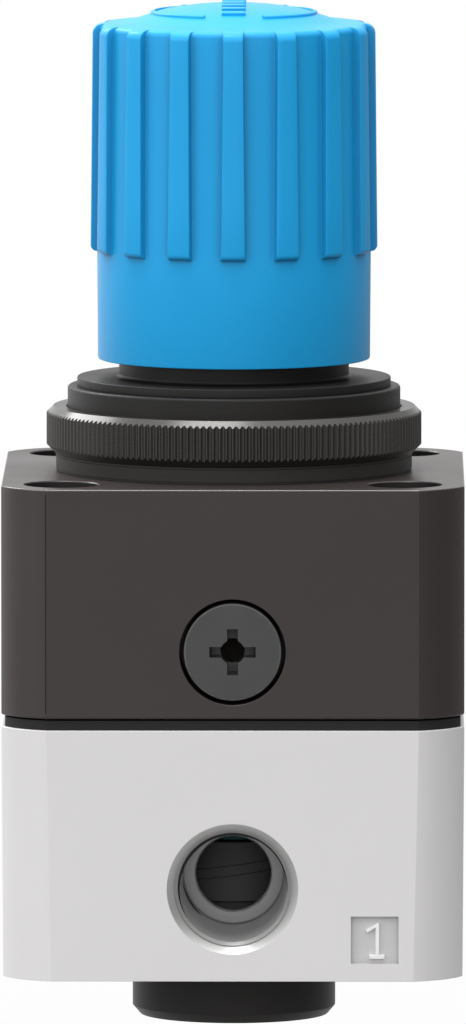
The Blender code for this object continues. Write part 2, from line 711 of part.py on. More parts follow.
def make_valve(spring_floor):
    guide_top = GUIDE_CUP_Z + GUIDE_CUP_DEPTH
    guide = [
        (GUIDE_BORE_RADIUS, GUIDE_Z),
        (GUIDE_RADIUS, GUIDE_Z),
        (GUIDE_RADIUS, guide_top - EDGE_BREAK),
        (GUIDE_RADIUS - EDGE_BREAK, guide_top),
        (GUIDE_CUP_RADIUS, guide_top),
        (GUIDE_CUP_RADIUS, GUIDE_CUP_Z),
        (GUIDE_BORE_RADIUS, GUIDE_CUP_Z),
    ]
    solid("valve_guide", turned(guide, BORE_STEPS, closed=True), "black_plastic")

    skirt_radius = GUIDE_BORE_RADIUS - RUNNING_GAP
    poppet = [
        (0, SKIRT_Z),
        (skirt_radius, SKIRT_Z),
        (skirt_radius, POPPET_Z),
        (POPPET_RADIUS, POPPET_Z),
        (POPPET_RADIUS, POPPET_Z + POPPET_THICKNESS),
        (STEM_RADIUS, POPPET_Z + POPPET_THICKNESS),
        (STEM_RADIUS, STEM_TOP_Z),
        (0, STEM_TOP_Z),
    ]
    stem = solid("valve_poppet", turned(poppet), "brass")
    disc = ring_solid(STEM_RADIUS + SEAT_GAP, POPPET_RADIUS, PAD_Z, PAD_THICKNESS)
    pad = solid("valve_pad", disc, "teal_seal")
    carried("valve_axis", SEAT_Z, (stem, pad))

    spring_z = spring_floor + SEAT_GAP
    length = SKIRT_Z - SEAT_GAP - spring_z
    coil = spring(VALVE_SPRING_RADIUS, VALVE_WIRE, length, VALVE_SPRING_TURNS)
    solid("valve_spring", coil, "steel", (0, 0, spring_z))


def fold_profile(inside, outside, z, depth):
    """Points of a diaphragm's rolled fold, from its outer edge to its inner edge."""
    middle = (inside + outside) / 2
    reach = (outside - inside) / 2
    points = []
    for share in FOLD_SHARES:
        points.append((middle + reach * share, z - depth * math.sqrt(1 - share**2)))
    return points


def make_main_diaphragm():
    """The rubber sheet, with its rolled fold between the chamber's wall and the piston's plates."""
    top = SHEET_Z + SHEET_THICKNESS
    hole = PISTON_STUD_RADIUS + SEAT_GAP
    side = HALF_SIDE - SHEET_INSET
    corner = CORNER_RADIUS - SHEET_INSET
    upper = fold_profile(PISTON_RADIUS, CHAMBER_RADIUS, top, FOLD_DEPTH) + [(hole, top)]
    lower = fold_profile(PISTON_RADIUS, CHAMBER_RADIUS, SHEET_Z, FOLD_DEPTH) + [(hole, SHEET_Z)]
    rings = [block_outline(side, corner, z, FLAT_STEPS) for z in (SHEET_Z, top)]
    rings += [circle_in_block(radius, z) for radius, z in upper]
    rings += [circle_in_block(radius, z) for radius, z in reversed(lower)]
    sheet = solid("main_diaphragm", loft(rings, closed=True), "rubber")
    holes = four_holes(SCREW_RADIUS + THREAD_GAP, SHEET_Z - CUT_SPARE, top + CUT_SPARE)
    combine(sheet, cutter("sheet_screw_holes", holes))


def make_piston():
    """The plates on either side of the main diaphragm, held together by a stud and a nut."""
    upper_z = SHEET_Z + SHEET_THICKNESS + SEAT_GAP
    nut_z = upper_z + PISTON_UPPER_THICKNESS + SEAT_GAP
    stud_top = nut_z + PISTON_NUT_THICKNESS
    plate_edge = PISTON_RADIUS - THREAD_GAP
    lower = [
        (RELIEF_HOLE_RADIUS, PISTON_HUB_Z),
        (PISTON_HUB_RADIUS, PISTON_HUB_Z),
        (PISTON_HUB_RADIUS, PISTON_Z),
        (plate_edge, PISTON_Z),
        (plate_edge, BODY_TOP_Z),
        (PISTON_STUD_RADIUS, BODY_TOP_Z),
        (PISTON_STUD_RADIUS, stud_top),
        (RELIEF_HOLE_RADIUS, stud_top),
    ]
    lower_plate = solid("lower_diaphragm_plate", turned(lower, closed=True), "steel")
    hole = PISTON_STUD_RADIUS + SEAT_GAP
    plate = ring_solid(hole, plate_edge, upper_z, PISTON_UPPER_THICKNESS)
    upper_plate = solid("upper_diaphragm_plate", plate, "steel")
    rings = []
    for z in (nut_z, nut_z + PISTON_NUT_THICKNESS):
        rings.append(circle(hole, z, HOLE_STEPS))
        rings.append(hexagon(PISTON_NUT_FLATS, z, HOLE_STEPS))
    nut_mesh = loft([rings[0], rings[1], rings[3], rings[2]], closed=True)
    nut = solid("diaphragm_nut", nut_mesh, "steel")
    carried("main_piston_axis", STEM_TOP_Z, (lower_plate, upper_plate, nut))


def make_upper_housing():
    """The housing with its threaded collar, its axial bores as one turned cut, then the cross holes."""
    levels = (
        (HOUSING_Z, EDGE_BREAK),
        (HOUSING_Z + EDGE_BREAK, 0),
        (HOUSING_TOP_Z - EDGE_BREAK, HOUSING_DRAFT),
        (HOUSING_TOP_Z, HOUSING_DRAFT + EDGE_BREAK),
    )
    outline = [block_outline(HALF_SIDE - inset, CORNER_RADIUS - inset, z) for z, inset in levels]
    housing = solid("upper_housing", loft(outline), "housing_black")
    collar = [
        (COLLAR_RADIUS, WEB_Z),
        (COLLAR_RADIUS, COLLAR_TOP_Z - COLLAR_CHAMFER),
        (COLLAR_RADIUS - COLLAR_CHAMFER, COLLAR_TOP_Z),
    ]
    combine(housing, cutter("threaded_collar", turned(collar, ROUND_STEPS)), "UNION")
    nozzle_hole = NOZZLE_RADIUS + THREAD_GAP
    bores = [
        (0, COLLAR_TOP_Z + CUT_SPARE),
        (COLLAR_BORE_RADIUS, COLLAR_TOP_Z + CUT_SPARE),
        (COLLAR_BORE_RADIUS, LEDGE_Z),
        (BLEED_CHAMBER_RADIUS, LEDGE_Z),
        (BLEED_CHAMBER_RADIUS, WEB_TOP_Z),
        (nozzle_hole, WEB_TOP_Z),
        (nozzle_hole, WEB_Z),
        (CHAMBER_RADIUS, WEB_Z),
        (CHAMBER_RADIUS, HOUSING_Z - CUT_SPARE),
        (0, HOUSING_Z - CUT_SPARE),
    ]
    combine(housing, cutter("housing_bores", turned(bores, BONNET_STEPS)))

    well_floor = HOUSING_TOP_Z - SCREW_SINK - SCREW_HEAD_HEIGHT - SEAT_GAP
    wells = four_holes(SCREW_WELL_RADIUS, well_floor, HOUSING_TOP_Z + CUT_SPARE)
    combine(housing, cutter("screw_wells", wells))
    holes = four_holes(SCREW_RADIUS + THREAD_GAP, HOUSING_Z - CUT_SPARE, well_floor + CUT_SPARE)
    combine(housing, cutter("housing_screw_holes", holes))

    vent = turned([(VENT_HOLE_RADIUS, -VENT_HOLE_DEPTH), (VENT_HOLE_RADIUS, CUT_SPARE)], PORT_STEPS)
    combine(housing, cutter("vent_hole", moved(vent, facing((0, -1, 0), HALF_SIDE, VENT_Z))))
    drill_z = WEB_Z + WEB_THICKNESS / 2
    drill_end = BLEED_CHAMBER_RADIUS - 2 * BLEED_DRILL_RADIUS
    along = turned([(BLEED_DRILL_RADIUS, drill_end - BLEED_DRILL_RADIUS - HALF_SIDE),
                    (BLEED_DRILL_RADIUS, CUT_SPARE - VENT_HOLE_DEPTH)], HOLE_STEPS)
    combine(housing, cutter("bleed_drill", moved(along, facing((0, -1, 0), HALF_SIDE, drill_z))))
    up = turned([(BLEED_DRILL_RADIUS, drill_z), (BLEED_DRILL_RADIUS, WEB_TOP_Z + CUT_SPARE)], HOLE_STEPS)
    combine(housing, cutter("bleed_riser", up, (0, -drill_end, 0)))


def make_housing_screws():
    head_top = HOUSING_TOP_Z - SCREW_SINK
    profile = [
        (0, -SCREW_HEAD_HEIGHT - SCREW_LENGTH),
        (SCREW_RADIUS, -SCREW_HEAD_HEIGHT - SCREW_LENGTH),
        (SCREW_RADIUS, -SCREW_HEAD_HEIGHT),
        (SCREW_HEAD_RADIUS, -SCREW_HEAD_HEIGHT),
        (SCREW_HEAD_RADIUS, -EDGE_BREAK),
        (SCREW_HEAD_RADIUS - EDGE_BREAK, 0),
        (0, 0),
    ]
    for number, place in enumerate(screw_places(), 1):
        location = place + Vector((0, 0, head_top))
        screw = solid(f"housing_screw_{number}", turned(profile, HOLE_STEPS), "steel", location)
        socket = loft([hexagon(SCREW_SOCKET_FLATS, z, 6) for z in (-SCREW_SOCKET_DEPTH, SCREW_SOCKET_DEPTH)])
        combine(screw, cutter(f"screw_socket_{number}", socket, location))


def make_vent_plug():
    front = HALF_SIDE - VENT_PLUG_SINK
    profile = [
        (VENT_BLEED_RADIUS, -VENT_PLUG_LENGTH),
        (VENT_PLUG_RADIUS, -VENT_PLUG_LENGTH),
        (VENT_PLUG_RADIUS, -VENT_PLUG_CHAMFER),
        (VENT_PLUG_RADIUS - VENT_PLUG_CHAMFER, 0),
        (VENT_BLEED_RADIUS, 0),
    ]
    place = facing((0, -1, 0), front, VENT_Z)
    plug = solid("vent_plug", moved(turned(profile, PORT_STEPS, closed=True), place), "black_plastic")
    long_half = VENT_CROSS_LENGTH / 2
    short_half = VENT_CROSS_WIDTH / 2
    for name, x, y in (("cross_across", long_half, short_half), ("cross_upright", short_half, long_half)):
        slot = box((-x, -y, -VENT_CROSS_DEPTH), (x, y, VENT_CROSS_DEPTH))
        combine(plug, cutter(name, moved(slot, place)))

    filter_back = VENT_HOLE_DEPTH - VENT_PLUG_SINK - SEAT_GAP
    filter_front = VENT_PLUG_LENGTH + SEAT_GAP
    disc = turned([(VENT_PLUG_RADIUS, -filter_back), (VENT_PLUG_RADIUS, -filter_front)])
    solid("vent_filter", moved(disc, place), "bronze")


def make_pilot():
    nozzle = [
        (NOZZLE_BORE_RADIUS, -NOZZLE_SHANK_LENGTH),
        (NOZZLE_RADIUS, -NOZZLE_SHANK_LENGTH),
        (NOZZLE_RADIUS, 0),
        (NOZZLE_FLANGE_RADIUS, 0),
        (NOZZLE_FLANGE_RADIUS, NOZZLE_FLANGE_THICKNESS),
        (NOZZLE_TIP_RADIUS, BLEED_CHAMBER_DEPTH - NOZZLE_GAP),
        (NOZZLE_BORE_RADIUS, BLEED_CHAMBER_DEPTH - NOZZLE_GAP),
    ]
    solid("pilot_nozzle", turned(nozzle, HOLE_STEPS, closed=True), "brass", (0, 0, WEB_TOP_Z + SEAT_GAP))

    clamp_bore = SLEEVE_RADIUS - CLAMP_RING_WALL
    top = PILOT_SHEET_THICKNESS
    sheet = [(0, 0)]
    sheet += reversed(fold_profile(PILOT_PLATE_RADIUS, BLEED_CHAMBER_RADIUS - SEAT_GAP, 0, PILOT_FOLD_DEPTH))
    sheet += [(SLEEVE_RADIUS, 0), (SLEEVE_RADIUS, top)]
    sheet += fold_profile(PILOT_PLATE_RADIUS, BLEED_CHAMBER_RADIUS - SEAT_GAP, top, PILOT_FOLD_DEPTH)
    sheet += [(0, top)]
    solid("pilot_diaphragm", turned(sheet), "rubber", (0, 0, PILOT_SHEET_Z))
    clamp = ring_solid(clamp_bore, SLEEVE_RADIUS, 0, CLAMP_RING_HEIGHT)
    solid("clamp_ring", clamp, "steel", (0, 0, PILOT_PLATE_Z))

    plate = [
        (0, 0),
        (PILOT_PLATE_RADIUS, 0),
        (PILOT_PLATE_RADIUS, PILOT_PLATE_THICKNESS),
        (SPRING_INSIDE_RADIUS, PILOT_PLATE_THICKNESS),
        (SPRING_INSIDE_RADIUS, PILOT_PLATE_THICKNESS + PILOT_BOSS_HEIGHT),
        (0, PILOT_PLATE_THICKNESS + PILOT_BOSS_HEIGHT),
    ]
    solid("pilot_plate", turned(plate), "steel", (0, 0, PILOT_PLATE_Z))


def make_bonnet():
    fillet = []
    for i in range(NECK_FILLET_STEPS + 1):
        angle = math.pi / 2 * i / NECK_FILLET_STEPS
        fillet.append((NECK_RADIUS + NECK_FILLET * (1 - math.sin(angle)),
                       FLANGE_TOP_Z + NECK_FILLET * (1 - math.cos(angle))))
    profile = [
        (SKIRT_BORE_RADIUS, BONNET_Z),
        (SLEEVE_RADIUS, BONNET_Z),
        (SLEEVE_RADIUS, FLANGE_Z),
        (FLANGE_RADIUS, FLANGE_Z),
        (FLANGE_RADIUS, FLANGE_TOP_Z),
        *fillet,
        (NECK_RADIUS, NECK_TOP_Z),
        (TOWER_RADIUS, NECK_TOP_Z),
        (TOWER_RADIUS, TOWER_TOP_Z - TOWER_CHAMFER),
        (TOWER_RADIUS - TOWER_CHAMFER, TOWER_TOP_Z),
        (JOURNAL_RADIUS + RUNNING_GAP, TOWER_TOP_Z),
        (JOURNAL_RADIUS + RUNNING_GAP, ROOF_Z),
        (SPRING_BORE_RADIUS, ROOF_Z),
        (SPRING_BORE_RADIUS, BONNET_Z + SKIRT_BORE_HEIGHT),
        (SKIRT_BORE_RADIUS, BONNET_Z + SKIRT_BORE_HEIGHT),
    ]
    bonnet = solid("bonnet", turned(profile, BONNET_STEPS, closed=True), "black_plastic")
    half_width = EAR_WIDTH / 2 + RUNNING_GAP
    reach = SPRING_NUT_RADIUS + EAR_LENGTH + RUNNING_GAP
    groove_top = SPRING_NUT_Z + SPRING_NUT_THICKNESS + EAR_GROOVE_SPARE
    grooves = []
    for side in (-1, 1):
        inner = side * (SPRING_BORE_RADIUS - CUT_SPARE)
        outer = side * reach
        grooves.append(box((min(inner, outer), -half_width, BONNET_Z - CUT_SPARE),
                           (max(inner, outer), half_width, groove_top)))
    combine(bonnet, cutter("ear_grooves", merged(grooves)))


def make_spindle():
    below_collar = SPINDLE_THREAD_LENGTH
    washer_side = below_collar + SPINDLE_COLLAR_THICKNESS
    groove_z = CIRCLIP_Z - SEAT_GAP - SPINDLE_Z
    groove_top = DRIVE_Z - SEAT_GAP - SPINDLE_Z
    drive_z = DRIVE_Z - SPINDLE_Z
    profile = [
        (SPINDLE_THREAD_RADIUS - SPINDLE_CHAMFER, 0),
        (SPINDLE_THREAD_RADIUS, SPINDLE_CHAMFER),
        (SPINDLE_THREAD_RADIUS, below_collar),
        (SPINDLE_COLLAR_RADIUS, below_collar),
        (SPINDLE_COLLAR_RADIUS, washer_side),
        (JOURNAL_RADIUS, washer_side),
        (JOURNAL_RADIUS, groove_z),
        (JOURNAL_RADIUS - CIRCLIP_GROOVE, groove_z),
        (JOURNAL_RADIUS - CIRCLIP_GROOVE, groove_top),
        (JOURNAL_RADIUS, groove_top),
        (JOURNAL_RADIUS, drive_z),
    ]
    rings = [circle(radius, z, INNER_STEPS) for radius, z in profile]
    rings.append(hexagon(DRIVE_FLATS, drive_z, INNER_STEPS))
    rings.append(hexagon(DRIVE_FLATS, drive_z + DRIVE_LENGTH, INNER_STEPS))
    spindle = solid("spindle", loft(rings), "steel", (0, 0, SPINDLE_Z))

    washer_bore = JOURNAL_RADIUS + RUNNING_GAP
    washer = ring_solid(washer_bore, THRUST_WASHER_RADIUS, 0, THRUST_WASHER_THICKNESS)
    solid("thrust_washer", washer, "brass", (0, 0, THRUST_WASHER_Z))
    clip_bore = JOURNAL_RADIUS - CIRCLIP_GROOVE + SEAT_GAP
    clip = ring_solid(clip_bore, CIRCLIP_RADIUS, 0, CIRCLIP_THICKNESS)
    retaining_ring = solid("retaining_ring", clip, "steel", (0, 0, CIRCLIP_Z))
    carried("spindle_axis", TOWER_TOP_Z, (spindle, retaining_ring))


def make_setting_spring():
    coil = spring(SETTING_SPRING_RADIUS, SETTING_WIRE, SETTING_SPRING_LENGTH, SETTING_SPRING_TURNS)
    solid("setting_spring", coil, "steel", (0, 0, SETTING_SPRING_Z))

    bore = SPINDLE_THREAD_RADIUS + THREAD_GAP
    hub = SPRING_INSIDE_RADIUS
    profile = [
        (bore, -SPRING_NUT_HUB_LENGTH),
        (hub, -SPRING_NUT_HUB_LENGTH),
        (hub, 0),
        (SPRING_NUT_RADIUS, 0),
        (SPRING_NUT_RADIUS, SPRING_NUT_THICKNESS),
        (bore, SPRING_NUT_THICKNESS),
    ]
    place = (0, 0, SPRING_NUT_Z)
    nut = solid("spring_nut", turned(profile, closed=True), "brass", place)
    ears = []
    for side in (-1, 1):
        inner = side * (SPRING_NUT_RADIUS - CUT_SPARE)
        outer = side * (SPRING_NUT_RADIUS + EAR_LENGTH)
        near = (min(inner, outer), -EAR_WIDTH / 2, 0)
        far = (max(inner, outer), EAR_WIDTH / 2, SPRING_NUT_THICKNESS)
        ears.append(box(near, far))
    combine(nut, cutter("nut_ears", merged(ears), place), "UNION")


def toothed_outline(root, tip, teeth, share, z):
    """A ring of square teeth. share is how much of each pitch a tooth's top takes."""
    pitch = 2 * math.pi / teeth
    points = []
    for tooth in range(teeth):
        centre = tooth * pitch
        for radius, offset in ((root, -share / 2), (tip, -share / 2), (tip, share / 2), (root, share / 2)):
            angle = centre + offset * pitch
            points.append(Vector((radius * math.cos(angle), radius * math.sin(angle), z)))
    return points


def make_lock_ring():
    inside = TOWER_RADIUS + SEAT_GAP
    rings = []
    for z in (0, LOCK_HEIGHT):
        rings.append(circle(inside, z, LOCK_TEETH))
        rings.append(toothed_outline(LOCK_ROOT_RADIUS, LOCK_TIP_RADIUS, LOCK_TEETH, LOCK_TOOTH_SHARE, z))
    mesh = loft([rings[0], rings[1], rings[3], rings[2]], closed=True)
    solid("lock_ring", mesh, "steel", (0, 0, NECK_TOP_Z + SEAT_GAP))


def knob_outline(valley, rib, width, z):
    """One section of the knob: ribs of a given width standing on a round wall, one of them facing -Y."""
    sector = 2 * math.pi / RIB_COUNT
    half = width / 2 / rib
    points = []
    for number in range(RIB_COUNT):
        centre = number * sector - math.pi / 2
        between = sector / 2
        for radius, angle in (
            (valley, -RIB_FOOT_SPREAD * half),
            (rib, -half),
            (rib, half),
            (valley, RIB_FOOT_SPREAD * half),
            (valley, between),
        ):
            points.append(Vector((radius * math.cos(centre + angle), radius * math.sin(centre + angle), z)))
    return points


def dome_height(radius):
    """Height of the knob's crowned top above its underside, at a radius."""
    return KNOB_HEIGHT - CROWN_SPHERE_RADIUS + math.sqrt(CROWN_SPHERE_RADIUS**2 - radius**2)


def knob_sections():
    """Sections up the knob as (height, valley radius, rib radius, rib width)."""
    shoulder = KNOB_HEIGHT - SHOULDER_DROP
    rim = dome_height(DOME_RADIUS) + RIM_LIFT
    sections = [
        (0, KNOB_RADIUS, KNOB_RADIUS, RIB_WIDTH),
        (RIB_START, KNOB_RADIUS_AT_RIBS, KNOB_RADIUS_AT_RIBS, RIB_WIDTH),
        (RIB_START + RIB_END_STEP, KNOB_RADIUS_AT_RIBS, RIB_RADIUS - RIB_END_DROP, RIB_WIDTH),
        (RIB_START + RIB_END_ROUND, KNOB_RADIUS_AT_RIBS, RIB_RADIUS, RIB_WIDTH),
        (shoulder, KNOB_RADIUS_AT_SHOULDER, RIB_RADIUS_AT_SHOULDER, RIB_WIDTH_AT_SHOULDER),
    ]
    for share in SHOULDER_SHARES:
        angle = share * math.pi / 2
        valley = DOME_RADIUS + (KNOB_RADIUS_AT_SHOULDER - DOME_RADIUS) * math.cos(angle)
        rib = DOME_RADIUS + (RIB_RADIUS_AT_SHOULDER - DOME_RADIUS) * math.cos(angle)
        sections.append((shoulder + (rim - shoulder) * math.sin(angle), valley, rib, RIB_WIDTH_AT_SHOULDER))
    return sections


def make_knob():
    """The ribbed cap, hollow from below, with a hub for the spindle's hexagon and lugs for the lock ring."""
    rings = [knob_outline(valley, rib, width, z) for z, valley, rib, width in knob_sections()]
    for share, skip in DOME_RINGS:
        radius = DOME_RADIUS * share
        directions = [point.xy.normalized() for point in rings[0][::skip]]
        rings.append([Vector((*(direction * radius), dome_height(radius))) for direction in directions])
    rings.append([Vector((0, 0, KNOB_HEIGHT))])
    place = (0, 0, KNOB_Z)
    knob = solid("knob", loft(rings), "knob_blue", place)

    roof = KNOB_HEIGHT - KNOB_ROOF
    hub_z = DRIVE_Z + KNOB_PUSH + SEAT_GAP - KNOB_Z
    hollow = [
        (0, -CUT_SPARE),
        (KNOB_BORE_RADIUS, -CUT_SPARE),
        (KNOB_BORE_RADIUS, RIB_START),
        (KNOB_TOP_BORE_RADIUS, roof),
        (KNOB_HUB_RADIUS, roof),
        (KNOB_HUB_RADIUS, hub_z),
        (0, hub_z),
    ]
    combine(knob, cutter("knob_hollow", turned(hollow, BONNET_STEPS), place))
    socket_top = DRIVE_TOP_Z + KNOB_PUSH + KNOB_SOCKET_SPARE - KNOB_Z
    flats = DRIVE_FLATS + 2 * RUNNING_GAP
    socket = loft([hexagon(flats, hub_z - CUT_SPARE, 6), hexagon(flats, socket_top, 6)])
    combine(knob, cutter("knob_socket", socket, place))

    lug_z = NECK_TOP_Z + SEAT_GAP + LOCK_HEIGHT + RUNNING_GAP - KNOB_Z
    pitch = 2 * math.pi / LOCK_TEETH
    lugs = []
    for number in range(LUG_COUNT):
        lug = box((KNOB_BORE_RADIUS - LUG_LENGTH, -LUG_WIDTH / 2, lug_z),
                  (KNOB_BORE_RADIUS + LUG_LENGTH, LUG_WIDTH / 2, lug_z + LUG_HEIGHT))
        angle = 2 * math.pi * number / LUG_COUNT + pitch / 2
        lugs.append(moved(lug, Matrix.Rotation(angle, 4, "Z")))
    combine(knob, cutter("knob_lugs", merged(lugs), place), "UNION")
    carried("knob_axis", TOWER_TOP_Z, (knob,))


def make_panel_nut():
    bore = COLLAR_RADIUS + THREAD_GAP
    foot_height = NUT_RADIUS - NUT_FOOT_RADIUS
    crown_z = NUT_HEIGHT - NUT_CROWN_HEIGHT
    knurl = []
    for z in (foot_height, crown_z):
        ring = []
        for i in range(2 * KNURL_COUNT):
            angle = math.pi * i / KNURL_COUNT
            radius = NUT_RADIUS - KNURL_DEPTH * (i % 2)
            ring.append(Vector((radius * math.cos(angle), radius * math.sin(angle), z)))
        knurl.append(ring)
    rings = [
        circle(bore, 0, NUT_STEPS),
        circle(NUT_FOOT_RADIUS, 0, NUT_STEPS),
        knurl[0],
        knurl[1],
        circle(NUT_CROWN_RADIUS, NUT_HEIGHT, NUT_STEPS),
        circle(bore, NUT_HEIGHT, NUT_STEPS),
    ]
    nut = solid("panel_nut", loft(rings, closed=True), "black_metal", (0, 0, NUT_Z))
    ring = ring_solid(bore, WASHER_RADIUS, 0, WASHER_THICKNESS, NUT_STEPS)
    washer = solid("nut_washer", ring, "black_metal", (0, 0, WASHER_Z))
    carried("panel_nut_axis", WASHER_Z, (nut, washer))


def carried(name, z, pieces):
    """An empty on the axis that a moving group turns about or slides along."""
    axis = bpy.data.objects.new(name, None)
    axis.location = (0, 0, z)
    axis.empty_display_size = 0.01
    bpy.context.collection.objects.link(axis)
    for piece in pieces:
        piece.parent = axis
        piece.matrix_parent_inverse = Matrix.Translation((0, 0, -z))


def main():
    clear_scene()
    spring_floor = make_bottom_cap()
    make_lower_body()
    make_gauge_plugs()
    make_valve(spring_floor)
    make_main_diaphragm()
    make_piston()
    make_upper_housing()
    make_housing_screws()
    make_vent_plug()
    make_pilot()
    make_bonnet()
    make_setting_spring()
    make_spindle()
    make_lock_ring()
    make_knob()
    make_panel_nut()


main()
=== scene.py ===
import math

import bmesh
import bpy
from mathutils import Matrix, Vector


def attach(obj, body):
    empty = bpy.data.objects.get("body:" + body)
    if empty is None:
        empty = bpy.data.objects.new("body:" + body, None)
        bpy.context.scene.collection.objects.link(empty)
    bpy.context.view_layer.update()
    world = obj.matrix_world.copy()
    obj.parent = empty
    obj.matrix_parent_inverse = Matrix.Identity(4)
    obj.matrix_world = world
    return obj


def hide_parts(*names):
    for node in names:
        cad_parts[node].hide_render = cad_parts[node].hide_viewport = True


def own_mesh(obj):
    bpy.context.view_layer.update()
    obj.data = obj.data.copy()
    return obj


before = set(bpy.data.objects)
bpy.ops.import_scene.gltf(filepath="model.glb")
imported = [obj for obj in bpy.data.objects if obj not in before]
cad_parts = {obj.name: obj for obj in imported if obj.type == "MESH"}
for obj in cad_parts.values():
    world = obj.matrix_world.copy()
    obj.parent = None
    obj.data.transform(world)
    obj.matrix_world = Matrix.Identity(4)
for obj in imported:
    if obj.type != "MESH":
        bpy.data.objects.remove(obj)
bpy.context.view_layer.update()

# Lengths are millimetres up to the stage, and a mesh is scaled to metres when it becomes a piece
MM = 0.001
SHARP = math.radians(28)
ROUND = 192
FILLET_STEPS = 5

# Heights of the stack
BODY_Z, BODY_TOP = 6.3, 33.5
SHEET_Z, SHEET_TOP = 33.53, 34.55
HOUSING_Z, HOUSING_TOP = 34.75, 59.58
NUT_Z, NUT_TOP = 61.4, 66.52
COLLAR_TOP = 68.75
KNOB_Z, KNOB_TOP = 71.66, 110.4
PORT_Z = 16.3
VENT_Z, BLEED_Z = 42.0, 43.25

# Plan of the two blocks
HALF_SIDE, CORNER_CENTRE, CORNER_RADIUS = 25.0, 17.0, 8.57
SCREW_SPREAD = 18.5
# How much the valve body narrows towards its foot: each side, and the radius of its corners
SIDE_DRAFT, CORNER_DRAFT = 0.17, 0.35
PORT_FACE = HALF_SIDE - SIDE_DRAFT * (BODY_TOP - PORT_Z) / (BODY_TOP - BODY_Z)
# Sunk squares with the ports' numbers
NUMBER_X, NUMBER_Z, NUMBER_HALF = 15.33, 10.8, 2.575
NUMBER_FLOOR = 24.858 - 0.5


# Looks

LOOKS = {}
# How fast the turning marks change round their axis
LINE_DRIFT = 0.6
OCCLUSION_SAMPLES = 6


class Graph:
    """A material's nodes, added one by one."""

    def __init__(self, tree):
        self.tree = tree

    def add(self, kind, inputs=None, **settings):
        node = self.tree.nodes.new(kind)
        for name, value in settings.items():
            setattr(node, name, value)
        for name, value in (inputs or {}).items():
            self.put(node.inputs[name], value)
        return node

    def put(self, socket, value):
        if isinstance(value, bpy.types.NodeSocket):
            self.tree.links.new(value, socket)
        else:
            socket.default_value = value

    def maths(self, operation, a, b=0.0):
        node = self.add("ShaderNodeMath", operation=operation)
        self.put(node.inputs[0], a)
        self.put(node.inputs[1], b)
        return node.outputs[0]

    def spread(self, value, low, high, start=0.25, end=0.75):
        inputs = {"Value": value, "From Min": start, "From Max": end, "To Min": low, "To Max": high}
        return self.add("ShaderNodeMapRange", inputs).outputs["Result"]

    def noise(self, vector, scale, detail):
        inputs = {"Vector": vector, "Scale": scale, "Detail": detail}
        return self.add("ShaderNodeTexNoise", inputs).outputs["Fac"]


def turned_vector(graph, parts, axis, stretch):
    """Coordinates that turn noise into lines round an axis, the object's Z or the ports' Y."""
    if axis == "z":
        across, along = parts["Y"], parts["Z"]
    else:
        across, along = graph.maths("SUBTRACT", parts["Z"], PORT_Z * MM), parts["Y"]
    squares = [graph.maths("MULTIPLY", part, part) for part in (parts["X"], across)]
    radius = graph.maths("SQRT", graph.maths("ADD", *squares))
    angle = graph.maths("ARCTAN2", across, parts["X"])
    vector = graph.add("ShaderNodeCombineXYZ", {
        "X": graph.maths("MULTIPLY", radius, stretch),
        "Y": graph.maths("MULTIPLY", along, stretch),
        "Z": graph.maths("MULTIPLY", angle, LINE_DRIFT),
    })
    return vector.outputs["Vector"]


def look(name, colour, rough, metallic=0.0, specular=0.5, tint=0.05, blotch=70.0, spread=0.05,
         grain=4200.0, relief=0.006, turned=None, line_relief=0.01, line_scale=5200.0,
         corner_shade=0.3, reach=1.2):
    """A finish with drifting colour, uneven roughness, grain or turning marks, and painted shade in corners.

    tint is how far the colour drifts, and corner_shade how much painted shade darkens corners within reach,
    both as shares.
    """
    material = bpy.data.materials.new(name)
    material.use_nodes = True
    shader = material.node_tree.nodes["Principled BSDF"]
    graph = Graph(material.node_tree)
    coordinates = graph.add("ShaderNodeTexCoord").outputs["Object"]
    drift = graph.noise(coordinates, blotch, 4.0)
    fine = graph.noise(coordinates, grain, 3.0)
    dark = [part * (1 - tint) for part in colour]
    pale = [min(1.0, part * (1 + tint)) for part in colour]
    mixed = graph.add("ShaderNodeMix", {"Factor": graph.spread(drift, 0.0, 1.0)}, data_type="RGBA")
    colour_inputs = [socket for socket in mixed.inputs if socket.type == "RGBA"]
    colour_inputs[0].default_value = (*dark, 1.0)
    colour_inputs[1].default_value = (*pale, 1.0)
    blended = next(socket for socket in mixed.outputs if socket.type == "RGBA")
    # Ambient occlusion darkens the base colour in corners and hollows: painted shade.
    openness = graph.add("ShaderNodeAmbientOcclusion", {"Distance": reach * MM}, samples=OCCLUSION_SAMPLES,
                         only_local=True)
    shade = graph.spread(openness.outputs["AO"], 1.0 - corner_shade, 1.0, 0.3, 0.95)
    dimmed = graph.add("ShaderNodeVectorMath", {0: blended}, operation="SCALE")
    graph.put(dimmed.inputs["Scale"], shade)
    graph.put(shader.inputs["Base Color"], dimmed.outputs["Vector"])
    uneven = graph.maths("ADD", graph.maths("MULTIPLY", drift, 0.5), graph.maths("MULTIPLY", fine, 0.5))
    graph.put(shader.inputs["Roughness"], graph.spread(uneven, rough - spread, rough + spread, 0.35, 0.65))
    shader.inputs["Metallic"].default_value = metallic
    shader.inputs["Specular IOR Level"].default_value = specular
    bump = graph.add("ShaderNodeBump", {"Height": fine, "Distance": relief * MM, "Strength": 1.0})
    if turned:
        split = graph.add("ShaderNodeSeparateXYZ", {"Vector": coordinates}).outputs
        lines = graph.noise(turned_vector(graph, split, turned, line_scale), 1.0, 3.0)
        inputs = {"Height": lines, "Distance": line_relief * MM, "Normal": bump.outputs["Normal"]}
        bump = graph.add("ShaderNodeBump", inputs)
    graph.put(shader.inputs["Normal"], bump.outputs["Normal"])
    LOOKS[name] = material


